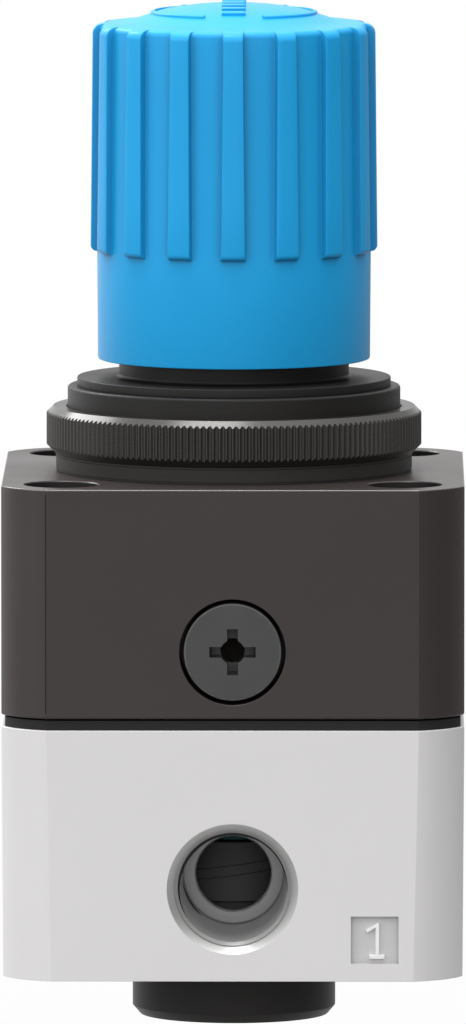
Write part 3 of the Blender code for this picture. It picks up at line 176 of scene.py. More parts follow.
def make_looks():
    look("moulded_blue", (0.011, 0.368, 0.770), 0.36, specular=0.28, tint=0.03, blotch=60.0,
         grain=3600.0, corner_shade=0.75, reach=2.8)
    look("coated_housing", (0.035, 0.0278, 0.0260), 0.36, specular=0.33, grain=4800.0,
         relief=0.005, corner_shade=0.8, reach=3.5)
    # A lighter metallic finish for the housing's top edge: its colour is a painted highlight.
    look("housing_rim_highlight", (0.150, 0.143, 0.138), 0.24, metallic=0.8, tint=0.10, grain=4800.0,
         relief=0.003)
    look("black_moulding", (0.0112, 0.0102, 0.0095), 0.44, specular=0.22, tint=0.06,
         corner_shade=0.7, reach=3.0)
    look("plug_moulding", (0.040, 0.040, 0.040), 0.46, turned="y", line_relief=0.003)
    # A lighter finish for the vent screw's rim: a painted highlight.
    look("plug_rim_highlight", (0.110, 0.108, 0.106), 0.40, tint=0.10)
    look("black_turning", (0.0285, 0.0250, 0.0230), 0.30, metallic=0.25, tint=0.08,
         relief=0.003, turned="z", line_relief=0.002, corner_shade=0.12, reach=0.6)
    look("nut_chamfer", (0.066, 0.064, 0.0615), 0.22, metallic=0.8, tint=0.08, grain=5200.0,
         relief=0.001)
    look("washer_finish", (0.027, 0.0255, 0.0240), 0.50, specular=0.20, tint=0.06, turned="z",
         line_relief=0.002)
    look("cap_finish", (0.038, 0.0355, 0.0345), 0.44, metallic=0.05, specular=0.12, tint=0.08,
         turned="z", line_relief=0.004)
    look("blasted_aluminium", (0.718, 0.704, 0.711), 0.52, metallic=0.15, tint=0.012,
         blotch=40.0, grain=5200.0)
    # A darker finish for the floors of the sunk squares: painted shade.
    look("sunk_square_shade", (0.560, 0.552, 0.556), 0.46, metallic=0.3, tint=0.02,
         grain=5200.0, relief=0.004)
    look("numeral_face", (0.860, 0.846, 0.853), 0.44, metallic=0.2, tint=0.01,
         grain=5200.0, relief=0.003)
    look("machined_port", (0.480, 0.478, 0.476), 0.32, metallic=0.15, specular=0.8,
         tint=0.015, spread=0.02, relief=0.0001, turned="y", line_relief=0.0008, line_scale=2600.0,
         corner_shade=0.45, reach=3.0)
    look("port_mouth", (0.540, 0.537, 0.534), 0.30, metallic=0.80, tint=0.01, spread=0.02,
         relief=0.0001, turned="y", line_relief=0.0004, corner_shade=0.25, reach=2.0)
    # A near-black finish for thin strips on the ports' walls: painted shadow of the thread.
    look("painted_thread_shadow", (0.008, 0.008, 0.008), 0.50, specular=0.2, tint=0.10)
    look("plated_steel", (0.560, 0.570, 0.580), 0.30, metallic=1.0, turned="z")
    look("spring_steel", (0.480, 0.480, 0.490), 0.32, metallic=1.0, tint=0.08)
    look("turned_brass", (0.700, 0.500, 0.220), 0.32, metallic=1.0, tint=0.06, turned="z")
    # The filter's bronze hue darkened nearly to black: painted shade deep inside the vent.
    look("bronze_filter_in_shade", (0.016, 0.011, 0.006), 0.90, metallic=0.2, tint=0.20, grain=2600.0,
         relief=0.05)
    look("guide_moulding", (0.085, 0.084, 0.083), 0.60, specular=0.30, tint=0.04)
    look("black_rubber", (0.012, 0.0108, 0.0108), 0.62, specular=0.25, tint=0.12, grain=3200.0,
         relief=0.01)
    look("teal_seal", (0.020, 0.170, 0.185), 0.55, tint=0.10)


# Inner solids that keep their CAD mesh
CAD_LOOKS = {
    "plated_steel": ("lower_diaphragm_plate", "upper_diaphragm_plate", "diaphragm_nut", "clamp_ring",
                     "pilot_plate", "spindle", "retaining_ring", "lock_ring"),
    "turned_brass": ("valve_poppet", "pilot_nozzle", "spring_nut", "thrust_washer"),
    "bronze_filter_in_shade": ("vent_filter",),
    "black_rubber": ("cap_o_ring", "pilot_diaphragm"),
    "teal_seal": ("valve_pad",),
}


def dress_cad_nodes():
    for name, nodes in CAD_LOOKS.items():
        for node in nodes:
            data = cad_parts[node].data
            data.materials.clear()
            data.materials.append(LOOKS[name])


# Meshes

def placed(name, data):
    made = bpy.data.objects.new(name, data)
    bpy.context.scene.collection.objects.link(made)
    return made


def circle(radius, z, steps=ROUND):
    turn = 2 * math.pi / steps
    return [Vector((radius * math.cos(i * turn), radius * math.sin(i * turn), z)) for i in range(steps)]


def loft(rings, closed=False):
    """A closed mesh through rings of points. A ring of one point is a tip."""
    mesh = bmesh.new()
    made = [[mesh.verts.new(point) for point in ring] for ring in rings]
    pairs = list(zip(made, made[1:]))
    if closed:
        pairs.append((made[-1], made[0]))
    for low, high in pairs:
        count = max(len(low), len(high))
        for i in range(count):
            j = (i + 1) % count
            corners = [low[i % len(low)], low[j % len(low)], high[j % len(high)], high[i % len(high)]]
            mesh.faces.new(list(dict.fromkeys(corners)))
    if not closed:
        for ring in (made[0], made[-1]):
            if len(ring) > 1:
                mesh.faces.new(ring)
    return mesh


def turned(profile, steps=ROUND, closed=False):
    """A mesh turned from a (radius, z) profile."""
    rings = []
    for radius, z in profile:
        rings.append(circle(radius, z, steps) if radius else [Vector((0, 0, z))])
    return loft(rings, closed)


def rounded(points, steps=FILLET_STEPS):
    """An outline of (x, y) or (x, y, radius) points, with the corners that have a radius rounded."""
    made = []
    for i, point in enumerate(points):
        here = Vector(point[:2])
        if len(point) < 3:
            made.append(tuple(here))
            continue
        back = (Vector(points[i - 1][:2]) - here).normalized()
        ahead = (Vector(points[(i + 1) % len(points)][:2]) - here).normalized()
        half = back.angle(ahead) / 2
        centre = here + (back + ahead).normalized() * (point[2] / math.sin(half))
        reach = point[2] / math.tan(half)
        start = here + back * reach - centre
        end = here + ahead * reach - centre
        for k in range(steps + 1):
            spoke = start.lerp(end, k / steps).normalized() * point[2]
            made.append(tuple(centre + spoke))
    return made


def moved(mesh, matrix):
    bmesh.ops.transform(mesh, matrix=matrix, verts=mesh.verts)
    return mesh


def facing(direction, distance, z):
    """Turns a mesh made along +Z so that +Z points out of a side, with its z = 0 on that side's face."""
    outwards = Vector(direction)
    turn = Vector((0, 0, 1)).rotation_difference(outwards).to_matrix().to_4x4()
    return Matrix.Translation(outwards * distance + Vector((0, 0, z))) @ turn


def hexagon_reach(flats, angle):
    """How far the side of a hexagon lies from its centre at an angle."""
    return flats / 2 / math.cos((angle % (math.pi / 3)) - math.pi / 6)


def hexagon(flats, z, steps):
    """Points of a hexagon at the angles of a circle's points."""
    points = []
    for i in range(steps):
        angle = 2 * math.pi * i / steps
        reach = hexagon_reach(flats, angle)
        points.append(Vector((reach * math.cos(angle), reach * math.sin(angle), z)))
    return points


def box(low, high):
    size = Vector(high) - Vector(low)
    mesh = bmesh.new()
    matrix = Matrix.Translation((Vector(high) + Vector(low)) / 2) @ Matrix.Diagonal((*size, 1.0))
    bmesh.ops.create_cube(mesh, size=1.0, matrix=matrix)
    return mesh


def joined(meshes):
    whole = bmesh.new()
    for mesh in meshes:
        data = bpy.data.meshes.new("part")
        mesh.to_mesh(data)
        mesh.free()
        whole.from_mesh(data)
        bpy.data.meshes.remove(data)
    return whole


def helper(mesh):
    """A passing object with a mesh, for a Boolean."""
    bmesh.ops.recalc_face_normals(mesh, faces=mesh.faces)
    data = bpy.data.meshes.new("helper")
    mesh.to_mesh(data)
    mesh.free()
    return placed("helper", data)


def carved(mesh, cutters, operation="DIFFERENCE"):
    """The mesh after one Boolean with each cutter, in turn."""
    target = helper(mesh)
    tools = [helper(cutter) for cutter in cutters]
    for tool in tools:
        modifier = target.modifiers.new("cut", "BOOLEAN")
        modifier.operation = operation
        modifier.solver = "EXACT"
        modifier.object = tool
    bpy.context.view_layer.update()
    evaluated = target.evaluated_get(bpy.context.evaluated_depsgraph_get())
    made = bmesh.new()
    made.from_mesh(evaluated.to_mesh())
    evaluated.to_mesh_clear()
    for old in (target, *tools):
        data = old.data
        bpy.data.objects.remove(old)
        bpy.data.meshes.remove(data)
    bmesh.ops.remove_doubles(made, verts=made.verts, dist=1e-4)
    return made


def piece(name, mesh, body, finish, stands_for=(), sharp=SHARP, weighted=True):
    """A finished mesh as a piece of the object, riding on a body."""
    moved(mesh, Matrix.Scale(MM, 4))
    bmesh.ops.recalc_face_normals(mesh, faces=mesh.faces)
    data = bpy.data.meshes.new(name)
    mesh.to_mesh(data)
    mesh.free()
    data.shade_smooth()
    data.set_sharp_from_angle(angle=sharp)
    data.materials.append(LOOKS[finish])
    made = placed(name, data)
    if weighted:
        made.modifiers.new("normals", "WEIGHTED_NORMAL").keep_sharp = True
    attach(made, body)
    if stands_for:
        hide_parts(*stands_for)
    return made


def repaint(made, finish, inside):
    """Gives the faces whose corners, in millimetres, all pass a test another finish."""
    made.data.materials.append(LOOKS[finish])
    index = len(made.data.materials) - 1
    passes = [inside(vertex.co / MM) for vertex in made.data.vertices]
    for face in made.data.polygons:
        if all(passes[vertex] for vertex in face.vertices):
            face.material_index = index


# Block-shaped pieces

EDGE_SOFTNESS = 0.25
ARC_STEPS = 24


def block_outline(half_side, corner_radius, z):
    """A square with round corners, the slight edge between each side and corner softened."""
    reach = half_side - CORNER_CENTRE
    rise = math.sqrt(corner_radius**2 - reach**2)
    first = math.atan2(rise, reach)
    edge = Vector((half_side, CORNER_CENTRE + rise))
    before = edge + Vector((0, -1))
    after = edge + Vector((-math.sin(first), math.cos(first)))
    soft = rounded([tuple(before), (*edge, EDGE_SOFTNESS), tuple(after)], 3)[1:-1]
    start = math.atan2(soft[-1][1] - CORNER_CENTRE, soft[-1][0] - CORNER_CENTRE)
    arc = []
    for i in range(1, ARC_STEPS):
        angle = start + (math.pi / 2 - 2 * start) * i / ARC_STEPS
        arc.append((CORNER_CENTRE + corner_radius * math.cos(angle),
                    CORNER_CENTRE + corner_radius * math.sin(angle)))
    quarter = soft + arc + [(y, x) for x, y in reversed(soft)]
    points = []
    for side in range(4):
        turn = Matrix.Rotation(side * math.pi / 2, 4, "Z")
        points.extend(turn @ Vector((x, y, z)) for x, y in quarter)
    return points


def rounded_block(low, high, half_side, corner_radius, low_round, high_round, draft=(0.0, 0.0)):
    """A block between two heights with rounded edges. draft narrows it downwards: its sides, its corners."""
    turns = [math.pi / 2 * k / FILLET_STEPS for k in range(FILLET_STEPS + 1)]
    levels = [(low + low_round * (1 - math.cos(turn)), low_round * (1 - math.sin(turn))) for turn in turns]
    levels += [(high - high_round * (1 - math.sin(turn)), high_round * (1 - math.cos(turn)))
               for turn in turns]
    rings = []
    for z, inset in levels:
        share = (high - z) / (high - low)
        side, corner = half_side - draft[0] * share - inset, corner_radius - draft[1] * share - inset
        rings.append(block_outline(side, corner, z))
    return loft(rings)


def outline_gap(point):
    """How far a point lies inside the housing's outline."""
    x, y = sorted((abs(point.x), abs(point.y)))
    if x < CORNER_CENTRE:
        return HALF_SIDE - y
    return min(HALF_SIDE - y, CORNER_RADIUS - math.hypot(x - CORNER_CENTRE, y - CORNER_CENTRE))


def screw_places():
    for x in (-SCREW_SPREAD, SCREW_SPREAD):
        for y in (-SCREW_SPREAD, SCREW_SPREAD):
            yield Vector((x, y, 0))


def at_screws(profile, steps):
    return joined([moved(turned(profile, steps), Matrix.Translation(place)) for place in screw_places()])


def helix(radius, crest, pitch, low, high, width, steps, foot=0.12):
    """A thread's ridge wound round the Z axis from radius out to crest, its foot sunk in the wall."""
    turns = (high - low) / pitch
    count = round(turns * steps)
    rings = []
    for i in range(count + 1):
        angle = 2 * math.pi * turns * i / count
        z = low + (high - low) * i / count
        fade = min(1.0, i / (steps * 0.4), (count - i) / (steps * 0.4))
        top = radius + (crest - radius) * fade
        section = [
            (radius - foot, z - width / 2),
            (radius, z - width / 2),
            (top, z - width * 0.12),
            (top, z + width * 0.12),
            (radius, z + width / 2),
            (radius - foot, z + width / 2),
        ]
        rings.append([Vector((r * math.cos(angle), r * math.sin(angle), h)) for r, h in section])
    return loft(rings)


# Painted shadow lines of a port's thread: angle in degrees, radius of the wall, width of the line
THREAD_START = [(-4, 5.91, 0.04), (25, 5.93, 0.13), (60, 5.94, 0.18), (100, 5.95, 0.27), (135, 5.96, 0.36),
                (165, 5.95, 0.30), (190, 5.94, 0.18), (214, 5.93, 0.04)]
THREAD_END = [(186, 5.58, 0.04), (200, 5.58, 0.15), (220, 5.58, 0.17), (234, 5.58, 0.04)]


def thread_line(stations, depth):
    """A thin strip on a port's wall that, finished dark, is a painted shadow of a thread's turn."""
    rings = []
    for (angle, radius, width), (next_angle, next_radius, next_width) in zip(stations, stations[1:]):
        for k in range(1 if rings else 0, 9):
            share = k / 8
            turn = math.radians(angle + (next_angle - angle) * share)
            outer = radius + (next_radius - radius) * share
            inner = outer - width - (next_width - width) * share
            section = ((inner, depth), (outer, depth), (outer, depth - 0.05), (inner, depth - 0.05))
            rings.append([Vector((r * math.cos(turn), r * math.sin(turn), z)) for r, z in section])
    return loft(rings)


def port_radius(point):
    """How far a point lies from the axis of the two ports."""
    return math.hypot(point.x, point.z - PORT_Z)


def make_lower_body():
    mesh = rounded_block(BODY_Z, BODY_TOP, HALF_SIDE, CORNER_RADIUS, 0.05, 0.08, (SIDE_DRAFT, CORNER_DRAFT))
    bores = [(0, 35), (16, 35), (16, 26), (4, 26), (4, 21.3), (4.8, 21.3), (4.8, 22), (8.2, 22), (8.2, 9.7),
             (9.6, 9.7), (9.6, 6.6), (9.9, 6.2), (9.9, 5), (0, 5)]
    mouth = rounded([(7.1, 1), (7.1, 0.0), (6.3, -0.8, 0.08), (6.3, -1.5, 0.08), (5.93, -1.87, 0.03),
                     (5.9, -2.1), (5.5, -15.1), (5.5, -15.8), (5.36, -15.8), (5.36, -15.4)], 3)
    inlet = turned([(0, 1)] + mouth + [(4.25, -15.4), (4.1, -15.55), (4.1, -17.8), (0, -17.8)], 160)
    outlet = turned([(0, 1)] + mouth + [(0, -15.4)], 160)
    passage = turned([(0, PORT_Z), (2.6, PORT_Z), (2.6, 27), (0, 27)], 48)
    holes = at_screws([(0, 20.08), (2.3, 20.08), (2.3, 33.3), (2.5, 33.5), (2.5, 35), (0, 35)], 48)
    gauges = []
    drills = []
    squares = []
    for side in (-1, 1):
        gauge = turned([(0, 1), (5.1, 1), (5.1, 0), (4.9, -0.2), (4.9, -12), (0, -12)], 96)
        gauges.append(moved(gauge, facing((side, 0, 0), PORT_FACE, PORT_Z)))
        drill = turned([(0, PORT_Z), (1.2, PORT_Z), (1.2, 27), (0, 27)], 32)
        drills.append(moved(drill, Matrix.Translation((side * (PORT_FACE - 12 + 1.45), 0, 0))))
        x, near, far = -side * NUMBER_X, side * NUMBER_FLOOR, side * 26
        low = (x - NUMBER_HALF, min(near, far), NUMBER_Z - NUMBER_HALF)
        high = (x + NUMBER_HALF, max(near, far), NUMBER_Z + NUMBER_HALF)
        squares.append(box(low, high))
    mesh = carved(mesh, [
        turned(bores, 160),
        moved(inlet, facing((0, -1, 0), PORT_FACE, PORT_Z)),
        moved(outlet, facing((0, 1, 0), PORT_FACE, PORT_Z)),
        moved(passage, Matrix.Translation((0, 12.28, 0))),
        holes, joined(gauges), joined(drills), joined(squares),
    ])
    body = piece("valve_block", mesh, "housing", "blasted_aluminium", ["lower_body"])
    repaint(body, "machined_port", lambda p: port_radius(p) < 7.2 and abs(p.y) > 8.3)
    repaint(body, "port_mouth", lambda p: 5.91 < port_radius(p) < 7.2 and abs(p.y) > PORT_FACE - 1.9)
    # The floors of the sunk squares get the darker finish: painted shade in the recesses.
    repaint(body, "sunk_square_shade", lambda p: abs(abs(p.x) - NUMBER_X) < 2.6 and abs(p.z - NUMBER_Z) < 2.6
            and 24.2 < abs(p.y) < 24.5)
    # Thin strips on each port's wall, in the near-black finish: painted shadow of the thread's turns.
    for number, side in ((1, -1), (2, 1)):
        lines = joined([thread_line(THREAD_START, -1.88), thread_line(THREAD_END, -13.3)])
        lines = moved(lines, facing((0, side, 0), PORT_FACE, PORT_Z))
        piece(f"port_{number}_thread", lines, "housing", "painted_thread_shadow")


def numeral_mesh(outline, depth, softness=0.07):
    """A numeral as a raised plate: its outline in the XZ plane facing -Y, with softened edges."""
    mesh = bmesh.new()
    front = [mesh.verts.new((x, 0, z)) for x, z in outline]
    face = mesh.faces.new(front)
    extruded = bmesh.ops.extrude_face_region(mesh, geom=[face])
    new = [item for item in extruded["geom"] if isinstance(item, bmesh.types.BMVert)]
    bmesh.ops.translate(mesh, verts=new, vec=(0, depth, 0))
    mesh.normal_update()
    rim = [edge for edge in mesh.edges if all(abs(vert.co.y) < 1e-6 for vert in edge.verts)]
    bmesh.ops.bevel(mesh, geom=rim, offset=softness, segments=2, profile=0.5, affect="EDGES")
    return mesh


def ribbon(points, width):
    """The outline of a line of even width along some points."""
    left = []
    right = []
    for i, point in enumerate(points):
        here = Vector(point)
        back = (here - Vector(points[i - 1])).normalized() if i else None
        ahead = (Vector(points[i + 1]) - here).normalized() if i + 1 < len(points) else None
        along = ((back or ahead) + (ahead or back)).normalized()
        normal = Vector((-along.y, along.x))
        reach = width / 2 / max(0.5, normal.dot(Vector((-(back or ahead).y, (back or ahead).x))))
        left.append(tuple(here + normal * reach))
        right.append(tuple(here - normal * reach))
    return left + right[::-1]


def make_numerals():
    one = [(-0.58, -2.05), (1.07, -2.05), (1.07, -1.60), (0.50, -1.60), (0.50, 1.82), (0.27, 1.82),
           (-0.95, 1.06), (-0.77, 0.79), (0.08, 1.32), (0.08, -1.60), (-0.58, -1.60)]
    bow = []
    for k in range(10):
        angle = math.radians(168 - 22 * k)
        bow.append((0.86 * math.cos(angle), 0.95 + 0.86 * math.sin(angle)))
    two = ribbon(bow + [(-0.86, -1.83), (1.0, -1.83)], 0.44)
    place = Matrix.Translation((NUMBER_X, -NUMBER_FLOOR - 0.42, NUMBER_Z))
    piece("numeral_1", moved(numeral_mesh(one, 0.5), place), "housing", "numeral_face")
    behind = Matrix.Rotation(math.pi, 4, "Z") @ place
    piece("numeral_2", moved(numeral_mesh(two, 0.5), behind), "housing", "numeral_face")


def make_gauge_plugs():
    face = PORT_FACE - 0.3
    for side, name in ((-1, "left"), (1, "right")):
        steps = 96
        outside = rounded([(4.6, -6.0), (4.6, 0, 0.2), (3.2, 0)])
        rings = [circle(r, z, steps) for r, z in outside]
        rings += [hexagon(5.3, 0, steps), hexagon(5.0, -0.15, steps), hexagon(5.0, -2.5, steps)]
        rings.append([Vector((0, 0, -3.3))])
        mesh = moved(loft(rings), facing((side, 0, 0), face, PORT_Z))
        piece(f"gauge_port_plug_{name}", mesh, "housing", "plated_steel", [f"gauge_plug_{name}"])


def make_bottom_cap():
    steps = ROUND
    rings = [[Vector((0, 0, 3.6))], hexagon(10.0, 3.0, steps), hexagon(10.0, 0.25, steps)]
    rings.append(hexagon(10.5, 0.0, steps))
    outside = rounded([(9.0, 0.0), (10.22, 0.0, 0.12), (11.05, 0.97, 0.12), (11.05, 6.05, 0.1), (9.3, 6.05),
                       (9.3, 6.95), (8.25, 6.95), (8.25, 8.55), (9.3, 8.55), (9.3, 9.45, 0.2), (4.35, 9.45),
                       (4.35, 6.95)], 3)
    rings += [circle(r, z, steps) for r, z in outside]
    rings.append([Vector((0, 0, 6.95))])
    piece("closing_cap", loft(rings), "housing", "cap_finish", ["bottom_cap"])


def make_sheet():
    """The rubber sheet between the housings, in three pieces. Its middle moves with the piston."""
    rim = loft([block_outline(HALF_SIDE - 0.4, CORNER_RADIUS - 0.4, z) for z in (SHEET_Z, SHEET_TOP)])
    holes = at_screws([(0, 33), (2.3, 33), (2.3, 35), (0, 35)], 48)
    middle = turned([(0, 33), (15.8, 33), (15.8, 35.2), (0, 35.2)], 128)
    piece("sheet_rim", carved(rim, [holes, middle]), "housing", "black_rubber", ["main_diaphragm"])
    low, high = 33.75, 34.5
    centre, reach, drop = 14.4, 1.6, 1.2
    sides = []
    for z in (high, low):
        side = [(16.0, z)]
        for k in range(1, 13):
            angle = math.pi * k / 12
            side.append((centre + reach * math.cos(angle), z - drop * math.sin(angle)))
        sides.append(side)
    fold = turned(sides[0] + sides[1][::-1], 128, closed=True)
    piece("sheet_fold", fold, "housing", "black_rubber", ["main_diaphragm"])
    disc = turned([(12.75, low), (12.75, high), (3.25, high), (3.25, low)], 128, closed=True)
    piece("sheet_middle", disc, "main_piston", "black_rubber", ["main_diaphragm"])


def make_upper_housing():
    mesh = rounded_block(HOUSING_Z, HOUSING_TOP, HALF_SIDE, CORNER_RADIUS, 0.25, 0.13)
    collar = rounded([(0, 41.5), (17.4, 41.5), (17.4, 66.1), (18.1, 66.4), (18.1, COLLAR_TOP, 0.3),
                      (0, COLLAR_TOP)])
    bores = rounded([(0, 70), (15.9, 70), (15.9, COLLAR_TOP), (15.5, COLLAR_TOP - 0.3), (15.5, 47), (13, 47),
                     (13, 45.5), (2.3, 45.5), (2.3, 41), (16, 41), (16, 33), (0, 33)])
    well = rounded([(0, 61), (4.12, 61), (4.12, HOUSING_TOP), (4.0, HOUSING_TOP - 0.12), (4.0, 53.33),
                    (0, 53.33)])
    holes = at_screws([(0, 54), (2.3, 54), (2.3, 34), (0, 34)], 48)
    vent = turned([(0, 1), (5.78, 1), (5.78, 0), (5.73, -0.05), (5.73, -6.8), (0, -6.8)], 128)
    drill = turned([(0, -13), (1, -13), (1, -5.8), (0, -5.8)], 32)
    riser = turned([(0, BLEED_Z), (1, BLEED_Z), (1, 46.5), (0, 46.5)], 32)
    scribe = box((-0.075, -0.16, HOUSING_Z + 0.6), (0.075, 0.16, HOUSING_TOP - 0.55))
    corner = Matrix.Translation((-20.12, -HALF_SIDE, 0)) @ Matrix.Rotation(-0.1, 4, "Z")
    mesh = carved(mesh, [turned(collar, ROUND)], "UNION")
    mesh = carved(mesh, [
        turned(bores, 160), at_screws(well, 96), holes,
        moved(vent, facing((0, -1, 0), HALF_SIDE, VENT_Z)),
        moved(drill, facing((0, -1, 0), HALF_SIDE, BLEED_Z)),
        moved(riser, Matrix.Translation((0, -11, 0))),
        moved(scribe, corner),
    ])
    made = piece("control_housing", mesh, "housing", "coated_housing", ["upper_housing"])
    repaint(made, "black_moulding", lambda p: p.z > 59.7)
    # The walls of the screw wells get the darker moulding finish: painted shade in the wells.
    repaint(made, "black_moulding", lambda p: 40 < p.z < HOUSING_TOP - 0.1
            and math.hypot(abs(p.x) - SCREW_SPREAD, abs(p.y) - SCREW_SPREAD) < 4.03)
    # The rounding of the top's outer edge gets the lighter metallic finish: a painted highlight.
    repaint(made, "housing_rim_highlight", lambda p: p.z > HOUSING_TOP - 0.14 and outline_gap(p) < 0.1)
    shadow_line = helix(17.4, 18.1, 1.5, 60.2, 66.0, 1.4, steps=144)
    made = piece("collar_thread", shadow_line, "housing", "black_moulding")
    made.data.set_sharp_from_angle(angle=math.radians(60))


def make_screws():
    steps = 96
    outside = [(2.0, -34.0), (2.0, -4.0)] + rounded([(3.5, -4.0), (3.5, 0, 0.3), (2.1, 0)])
    for number, place in enumerate(screw_places(), 1):
        rings = [[Vector((0, 0, -34.4))]] + [circle(r, z, steps) for r, z in outside]
        rings += [hexagon(3.25, 0, steps), hexagon(3.0, -0.12, steps), hexagon(3.0, -2.0, steps)]
        rings.append([Vector((0, 0, -2.6))])
        mesh = moved(loft(rings), Matrix.Translation(place + Vector((0, 0, HOUSING_TOP - 2.0))))
        piece(f"cover_screw_{number}", mesh, "housing", "plated_steel", [f"housing_screw_{number}"])


def tapered_slot(length, width, floor_length, floor_width, depth):
    rings = []
    for z, long, wide in ((-depth, floor_length, floor_width), (0, length, width), (1, length, width)):
        x, y = long / 2, wide / 2
        rings.append([Vector((-x, -y, z)), Vector((x, -y, z)), Vector((x, y, z)), Vector((-x, y, z))])
    return loft(rings)


def make_vent_plug():
    profile = rounded([(1.32, -4.3), (5.3, -4.3), (5.3, 0, 0.22), (1.32, 0, 0.04)])
    slots = [moved(tapered_slot(5.0, 1.155, 4.55, 1.08, 2.3), Matrix.Rotation(turn, 4, "Z"))
             for turn in (0, math.pi / 2)]
    mesh = carved(turned(profile, 128, closed=True), slots)
    mesh = moved(mesh, facing((0, -1, 0), HALF_SIDE - 0.2, VENT_Z))
    plug = piece("vent_screw", mesh, "housing", "plug_moulding", ["vent_plug"])
    # The front of the head's rim gets the lighter finish: a painted highlight.
    repaint(plug, "plug_rim_highlight", lambda p: 5.08 < math.hypot(p.x, p.z - VENT_Z) < 5.25 and p.y < -24.5)


def make_bonnet():
    profile = rounded([
        (12.6, 51.25), (15.2, 51.25, 0.2), (15.2, 68.76), (17.06, 68.76, 0.05), (17.06, 69.7, 0.12),
        (12.5, 69.7, 0.4), (12.5, 72.6, 0.2), (11.8, 72.6), (11.8, 96.0, 0.5), (4.3, 96.0, 0.2), (4.3, 93.0),
        (9.9, 93.0), (9.9, 64.0), (12.6, 64.0)])
    grooves = []
    for side in (-1, 1):
        inner, outer = side * 8.9, side * 10.9
        grooves.append(box((min(inner, outer), -1.6, 50), (max(inner, outer), 1.6, 87)))
    mesh = carved(turned(profile, ROUND, closed=True), [joined(grooves)])
    piece("knob_bearing", mesh, "housing", "black_moulding", ["bonnet"])


# Knob

RIBS, LUGS = 16, 8
# The dome's curve: radius, and how far it has dropped from the knob's top
CROWN = [(0.0, 0.0), (1.5, 0.03), (3.0, 0.11), (4.5, 0.25), (6.0, 0.45), (7.5, 0.72), (8.8, 1.08),
         (9.8, 1.42), (10.6, 1.70), (11.3, 1.90), (12.0, 2.02), (12.7, 2.09), (13.4, 2.15), (14.6, 2.27),
         (15.6, 2.38)]
# Radius of the wall between the ribs, radius and width of the ribs: at their lower end, and at the shoulder
VALLEY, VALLEY_UP = 14.88, 14.55
RIB, RIB_UP = 15.6, 15.37
RIB_WIDTH, RIB_WIDTH_UP = 2.64, 2.2
# Height of the ribs' lower end
RIBS_Z = 83.45


def dome_z(radius):
    """Height of the knob's top at a radius: a crown that flattens towards the rim."""
    for (low, drop), (high, next_drop) in zip(CROWN, CROWN[1:]):
        if radius <= high:
            share = (radius - low) / (high - low)
            return KNOB_TOP - drop - (next_drop - drop) * share
    return KNOB_TOP - CROWN[-1][1]


def dome_slope(radius):
    rise = dome_z(radius + 0.2) - dome_z(max(0.0, radius - 0.2))
    return math.atan(rise / (0.4 if radius > 0.2 else radius + 0.2))


def knob_ring(valley, rib, width):
    """A ring of the knob. valley and rib are the (radius, height) of its wall and of its ribs' tops."""
    half = width / 2
    soft, height = 0.13, 0.72
    half_side = [(0.0, 1.0), (0.5 * (half - soft), 1.0), (half - soft, 1.0)]
    for k in (1, 2, 3):
        angle = math.radians(30 * k)
        half_side.append((half - soft + soft * math.sin(angle), 1 - soft / height * (1 - math.cos(angle))))
    half_side += [(half + 0.05, 0.16), (half + 0.08, 0.05), (half + 0.16, 0.0)]
    sector = 2 * math.pi / RIBS
    # Towards the centre the ribs' edges keep their angles, so that no two cross
    turned_half = [(x / max(rib[0], 13.0), w) for x, w in half_side]
    foot = turned_half[-1][0]
    turned_half += [(foot + (sector / 2 - foot) * k / 7, 0.0) for k in range(1, 7)]
    whole = [(-sector / 2, 0.0)] + [(-a, w) for a, w in reversed(turned_half[1:])] + turned_half
    points = []
    for number in range(RIBS):
        middle = number * sector - math.pi / 2
        for angle, weight in whole:
            radius = valley[0] + (rib[0] - valley[0]) * weight
            z = valley[1] + (rib[1] - valley[1]) * weight
            points.append(Vector((radius * math.cos(middle + angle), radius * math.sin(middle + angle), z)))
    return points


def shoulder(wall, radius):
    """The rounded shoulder between a wall and the dome, from the wall up."""
    corner = (wall, dome_z(wall), radius)
    return rounded([(wall, 90.0), corner, (wall - 1.2, dome_z(wall - 1.2))], 8)[1:-1]


